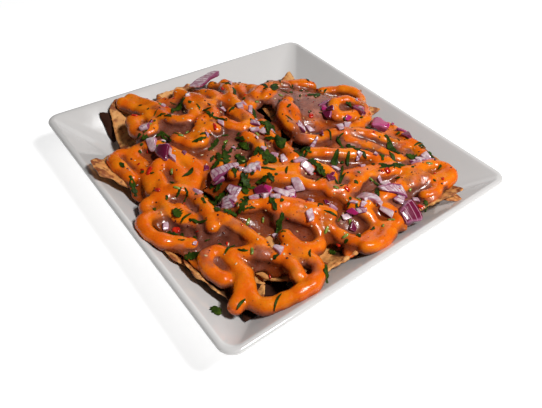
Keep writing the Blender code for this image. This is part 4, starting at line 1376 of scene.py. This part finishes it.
def onion_material():
    """Raw red onion: wet white flesh, purple lines between the layers, purple skin."""
    made = Shader("red_onion")
    across, along, up, kind = [made.attribute(name) for name in ("across", "along", "up", "kind")]
    off_middle = made.math("ABSOLUTE", across)
    striped, skinned, lined = [made.span(kind, low, low + 0.4) for low in (0.5, 1.5, 3.4)]
    flesh = made.mix(made.mottle(4, 3, 0.35, 0.7), (0.52, 0.29, 0.35), (0.82, 0.69, 0.71))
    flesh = made.mix(made.span(off_middle, 0.55, 1.0, 0.0, 0.55), flesh, (0.50, 0.14, 0.30))
    slant = made.math("ADD", along, made.times(across, 1.5))
    wave = made.math("SINE", made.math("ADD", slant, made.mottle(6, 2, 0.3, 0.7, -1.5, 1.5)))
    lines = made.times(made.span(wave, 0.55, 0.95, 0.0, 0.75), striped)
    edges = made.times(made.span(off_middle, 0.7, 0.85), striped)
    colour = made.mix(made.math("MAXIMUM", lines, edges), flesh, (0.27, 0.045, 0.13))
    magenta = made.math("SUBTRACT", made.span(kind, 2.4, 2.8), lined)
    purple = made.mix(magenta, (0.17, 0.008, 0.045), (0.48, 0.018, 0.15))
    rings = made.span(made.math("SINE", made.times(along, 0.75)), 0.9, 0.98)
    purple = made.mix(made.times(rings, lined), purple, (0.60, 0.30, 0.38))
    purple = made.mix(made.span(off_middle, 0.75, 0.95, 0.0, 0.6), purple, (0.60, 0.22, 0.40))
    colour = made.mix(made.times(made.span(up, 0.1, 0.6), skinned), colour, purple)
    made.set(Base_Color=colour, Roughness=0.22, Subsurface_Weight=0.25, Subsurface_Scale=1.0)
    made.set(Subsurface_Radius=(0.003, 0.002, 0.002), Coat_Weight=0.3, Coat_Roughness=0.05)
    made.bump(made.noise(1.5, 2), 0.12)
    return made.material


def resting(name):
    """A solid's middle height and the way that its flat side faces."""
    points = np.array([tuple(vert.co / MM) for vert in frame["nodes"][name].data.vertices])
    facing = Vector(np.linalg.svd(points - points.mean(axis=0), full_matrices=False)[2][2])
    return points[:, 2].mean(), facing if facing.z > 0 else -facing


def add_onion(batch, tree, x, y, heading, length, width, thick, kind, bend=ONION_BEND, rest=None):
    """One bit of onion at its solid's rest, or laid on what is under it and sunk in a little."""
    points, faces, unit = nugget(length, width, thick, ONION_SQUARE, rings=13, around=20)
    skew, taper, point = ONION_SKEW * np.sin((x + 2 * y, 2 * x - y, x + y))
    points[:, 1] *= 1 + taper * unit[:, 0]
    points[:, 0] += point * points[:, 1]
    points[:, 2] *= 1 + skew * unit[:, 0]
    points = bent(points, bend)
    uneven = ONION_UNEVEN * width * waves(tuple(points.T + x), 5, SEED + 30)[:, None]
    points = points + uneven * np.array((0.5, 1, 0.3))
    height, normal = seat(tree, x, y, 0.35 * min(length, 2 * width))
    height += (0.5 - ONION_SINK) * thick
    if rest:
        height, normal = rest
    points = laid(points, x, y, height, normal, heading)
    batch.add(points, faces, across=unit[:, 1], along=unit[:, 0] * length, up=unit[:, 2], kind=kind)


def make_onions(tree):
    """The onion pieces that stand for solids, and the smaller bits round them."""
    material = onion_material()
    for name, x, y, length, width, thick, heading, bend, kind in ONION_PARTS:
        batch = Batch()
        rest = resting(name) if name.startswith("onion_back") else None
        add_onion(batch, tree, x, y, heading, length, width, thick, kind, bend, rest=rest)
        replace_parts(batch.piece("cut_" + name, material, "red_onion"), name)
    bits = Batch()
    for x, y, heading, length, width, thick, kind in ONION_BITS:
        add_onion(bits, tree, x, y, heading, ONION_SCALE * length, ONION_SCALE * width, thick, kind)
    for x, y, one, two, three in scattered(*MORE_ONION, SEED + 31):
        add_onion(bits, tree, x, y, 360 * one, 2.5 + 3 * two, 2 + 2 * three, 1.6, int(3 * one))
    bits.piece("onion_bits", material, "red_onion")


def leaf_material():
    """Fresh coriander: dark wet green, paler at the veins."""
    made = Shader("coriander")
    green = made.mix(made.mottle(5, 3, 0.35, 0.7), (0.012, 0.028, 0.0015), (0.042, 0.078, 0.004))
    green = made.mix(made.mottle(1.5, 2, 0.6, 0.8), green, (0.10, 0.19, 0.02))
    made.set(Base_Color=green, Roughness=0.5, Specular_IOR_Level=0.12)
    made.bump(made.noise(1.2, 3), 0.15)
    return made.material


def add_leaf(batch, tree, pick, x, y, heading, length, width, lobes):
    """A shred or lobed piece of leaf, draped on what is under it."""
    stations = max(LEAF_LEAST_STEPS, int(length / LEAF_STEP))
    bend = math.radians(pick.uniform(-LEAF_BEND, LEAF_BEND))
    phase = pick.uniform(0, math.pi)
    angle = math.radians(heading) - bend / 2
    place = np.array((x, y)) - 0.5 * length * np.array((math.cos(angle), math.sin(angle)))
    plan = []
    for share in np.arange(stations + 1) / stations:
        half = 0.5 * width * max(LEAF_TIP, math.sin(math.pi * min(max(share, 0.03), 0.97))) ** 0.5
        if lobes:
            half *= 1 - LEAF_NOTCH + LEAF_NOTCH * abs(math.sin(math.pi * lobes * share + phase)) ** 0.7
        for side in LEAF_SIDES:
            off = side * half * (1 + LEAF_RAGGED * math.sin(7 * share * lobes + 5 * side))
            plan.append((place[0] - off * math.sin(angle), place[1] + off * math.cos(angle)))
        place = place + length / stations * np.array((math.cos(angle), math.sin(angle)))
        angle += bend / stations
    shape = (stations + 1, len(LEAF_SIDES))
    tops = np.array([top_of(tree, px, py)[0] or 0.0 for px, py in plan]).reshape(shape)
    middle = windowed(tops.max(axis=1), 3)[:, None]
    tops = np.maximum((1 - LEAF_STIFF) * tops + LEAF_STIFF * middle, tops) + LEAF_LIFT
    tops = tops + LEAF_CURL * width * np.square(LEAF_SIDES) * pick.uniform(0.2, 1.0)
    upper = np.column_stack((plan, tops.ravel())).reshape(*shape, 3)
    lower = upper[:, ::-1] - (0, 0, LEAF_THICK)
    points = np.concatenate((upper, lower), axis=1).reshape(-1, 3)
    batch.add(points, tube_faces(shape[0], 2 * shape[1]))


def make_leaves(tree):
    """Chopped coriander: the larger leaves at their places and small bits everywhere."""
    pick = np.random.default_rng(SEED + 40)
    batch = Batch()
    for x, y, heading, length, width, lobes in LEAVES:
        add_leaf(batch, tree, pick, x, y, heading, LEAF_SCALE * length, LEAF_SCALE * width, lobes)
    for x, y, one, two, three in scattered(*MORE_LEAVES, SEED + 41):
        add_leaf(batch, tree, pick, x, y, 360 * one, 2.5 + 5 * two * two, 1 + 2 * three, int(3 * two))
    batch.piece("coriander", leaf_material())


def glossy_material(name, dark, pale, roughness):
    """A wet plain material between two colours."""
    made = Shader(name)
    made.set(Base_Color=made.mix(made.mottle(2.5, 2, 0.35, 0.65), dark, pale), Roughness=roughness)
    made.set(Coat_Weight=0.3, Coat_Roughness=0.05)
    made.bump(made.noise(1.2, 2), 0.1)
    return made.material


def add_nugget(batch, tree, x, y, heading, length, width, thick, squareness):
    """One uneven crumb, laid on what is under it and sunk in a little."""
    points, faces, _ = nugget(length, width, thick, squareness, rings=7, around=8)
    points = points * (1 + CRUMB_UNEVEN * waves(tuple(points.T + 3 * x), 3, SEED + 50)[:, None])
    height, normal = seat(tree, x, y, 0.4 * length)
    batch.add(laid(points, x, y, height + (0.5 - CRUMB_SINK) * thick, normal, heading), faces)


def make_crumbs(tree):
    """Chilli, garlic, seeds, stem slices and bean skins."""
    for number, (name, dark, pale, roughness, count, step, *sizes, squareness) in enumerate(CRUMBS):
        length, longer, width, wider, thick = sizes
        batch = Batch()
        if name == "chilli":
            for row in CHILLI:
                add_nugget(batch, tree, *row, CHILLI_THICK, CHILLI_SQUARE)
        for x, y, one, two, three in scattered(count, step, SEED + 51 + number):
            size = (length + longer * two, width + wider * three, thick)
            add_nugget(batch, tree, x, y, 360 * one, *size, squareness)
        batch.piece(name, glossy_material(name, dark, pale, roughness))


# ---- stage


def make_stage():
    """A plain pale floor, soft light and the camera."""
    bpy.ops.mesh.primitive_plane_add(size=FLOOR_SIZE)
    floor = bpy.context.object
    floor.name = "floor"
    made = Shader("floor")
    made.set(Base_Color=(0.6, 0.6, 0.6, 1.0), Roughness=0.7)
    made.set(Emission_Color=(1.0, 1.0, 1.0, 1.0), Emission_Strength=FLOOR_GLOW)
    floor.data.materials.append(made.material)

    world = bpy.data.worlds.new("studio")
    world.use_nodes = True
    background = world.node_tree.nodes["Background"]
    background.inputs["Color"].default_value = (1.0, 1.0, 1.0, 1.0)
    background.inputs["Strength"].default_value = WORLD_LIGHT
    bpy.context.scene.world = world

    for name, place, size, power in LIGHTS:
        light = bpy.data.lights.new(name, "AREA")
        light.shape = "SQUARE"
        light.size = size
        light.energy = power
        lamp = bpy.data.objects.new(name, light)
        bpy.context.scene.collection.objects.link(lamp)
        way = Vector(place).normalized()
        lamp.location = way * LIGHT_AWAY
        lamp.rotation_mode = "QUATERNION"
        lamp.rotation_quaternion = way.to_track_quat("Z", "Y")

    camera = bpy.data.cameras.new("camera")
    camera.sensor_width = SENSOR
    camera.lens = LENS
    eye = bpy.data.objects.new("camera", camera)
    bpy.context.scene.collection.objects.link(eye)
    view = Matrix.Translation(CAMERA_PLACE)
    for angle, axis in CAMERA_TURNS:
        view = view @ Matrix.Rotation(math.radians(angle), 4, axis)
    eye.matrix_world = view
    bpy.context.scene.camera = eye
    bpy.context.scene.view_settings.view_transform = "Standard"


make_stage()
make_plate()
make_buried_chips(tortilla_material("tortilla_soaked", HEAP_SHADE))
fried = tortilla_material("tortilla")
make_top_chips(fried)
sauces = make_sauces()
make_edge_chips("tortilla_edge", LOOSE_CHIPS, fried)
# Near-black chips that stand for shade at the heap's edge and in its gaps
make_edge_chips("tortilla_dark", SHADE_CHIPS, painted_shade_material("dark_chips", SHADE_EDGE_DARK))
chips = [piece for piece in bpy.data.objects if piece.name.startswith("tortilla_")]
served = tree_of(sauces + chips + nodes_named("plate"))
make_onions(served)
make_leaves(served)
make_crumbs(served)
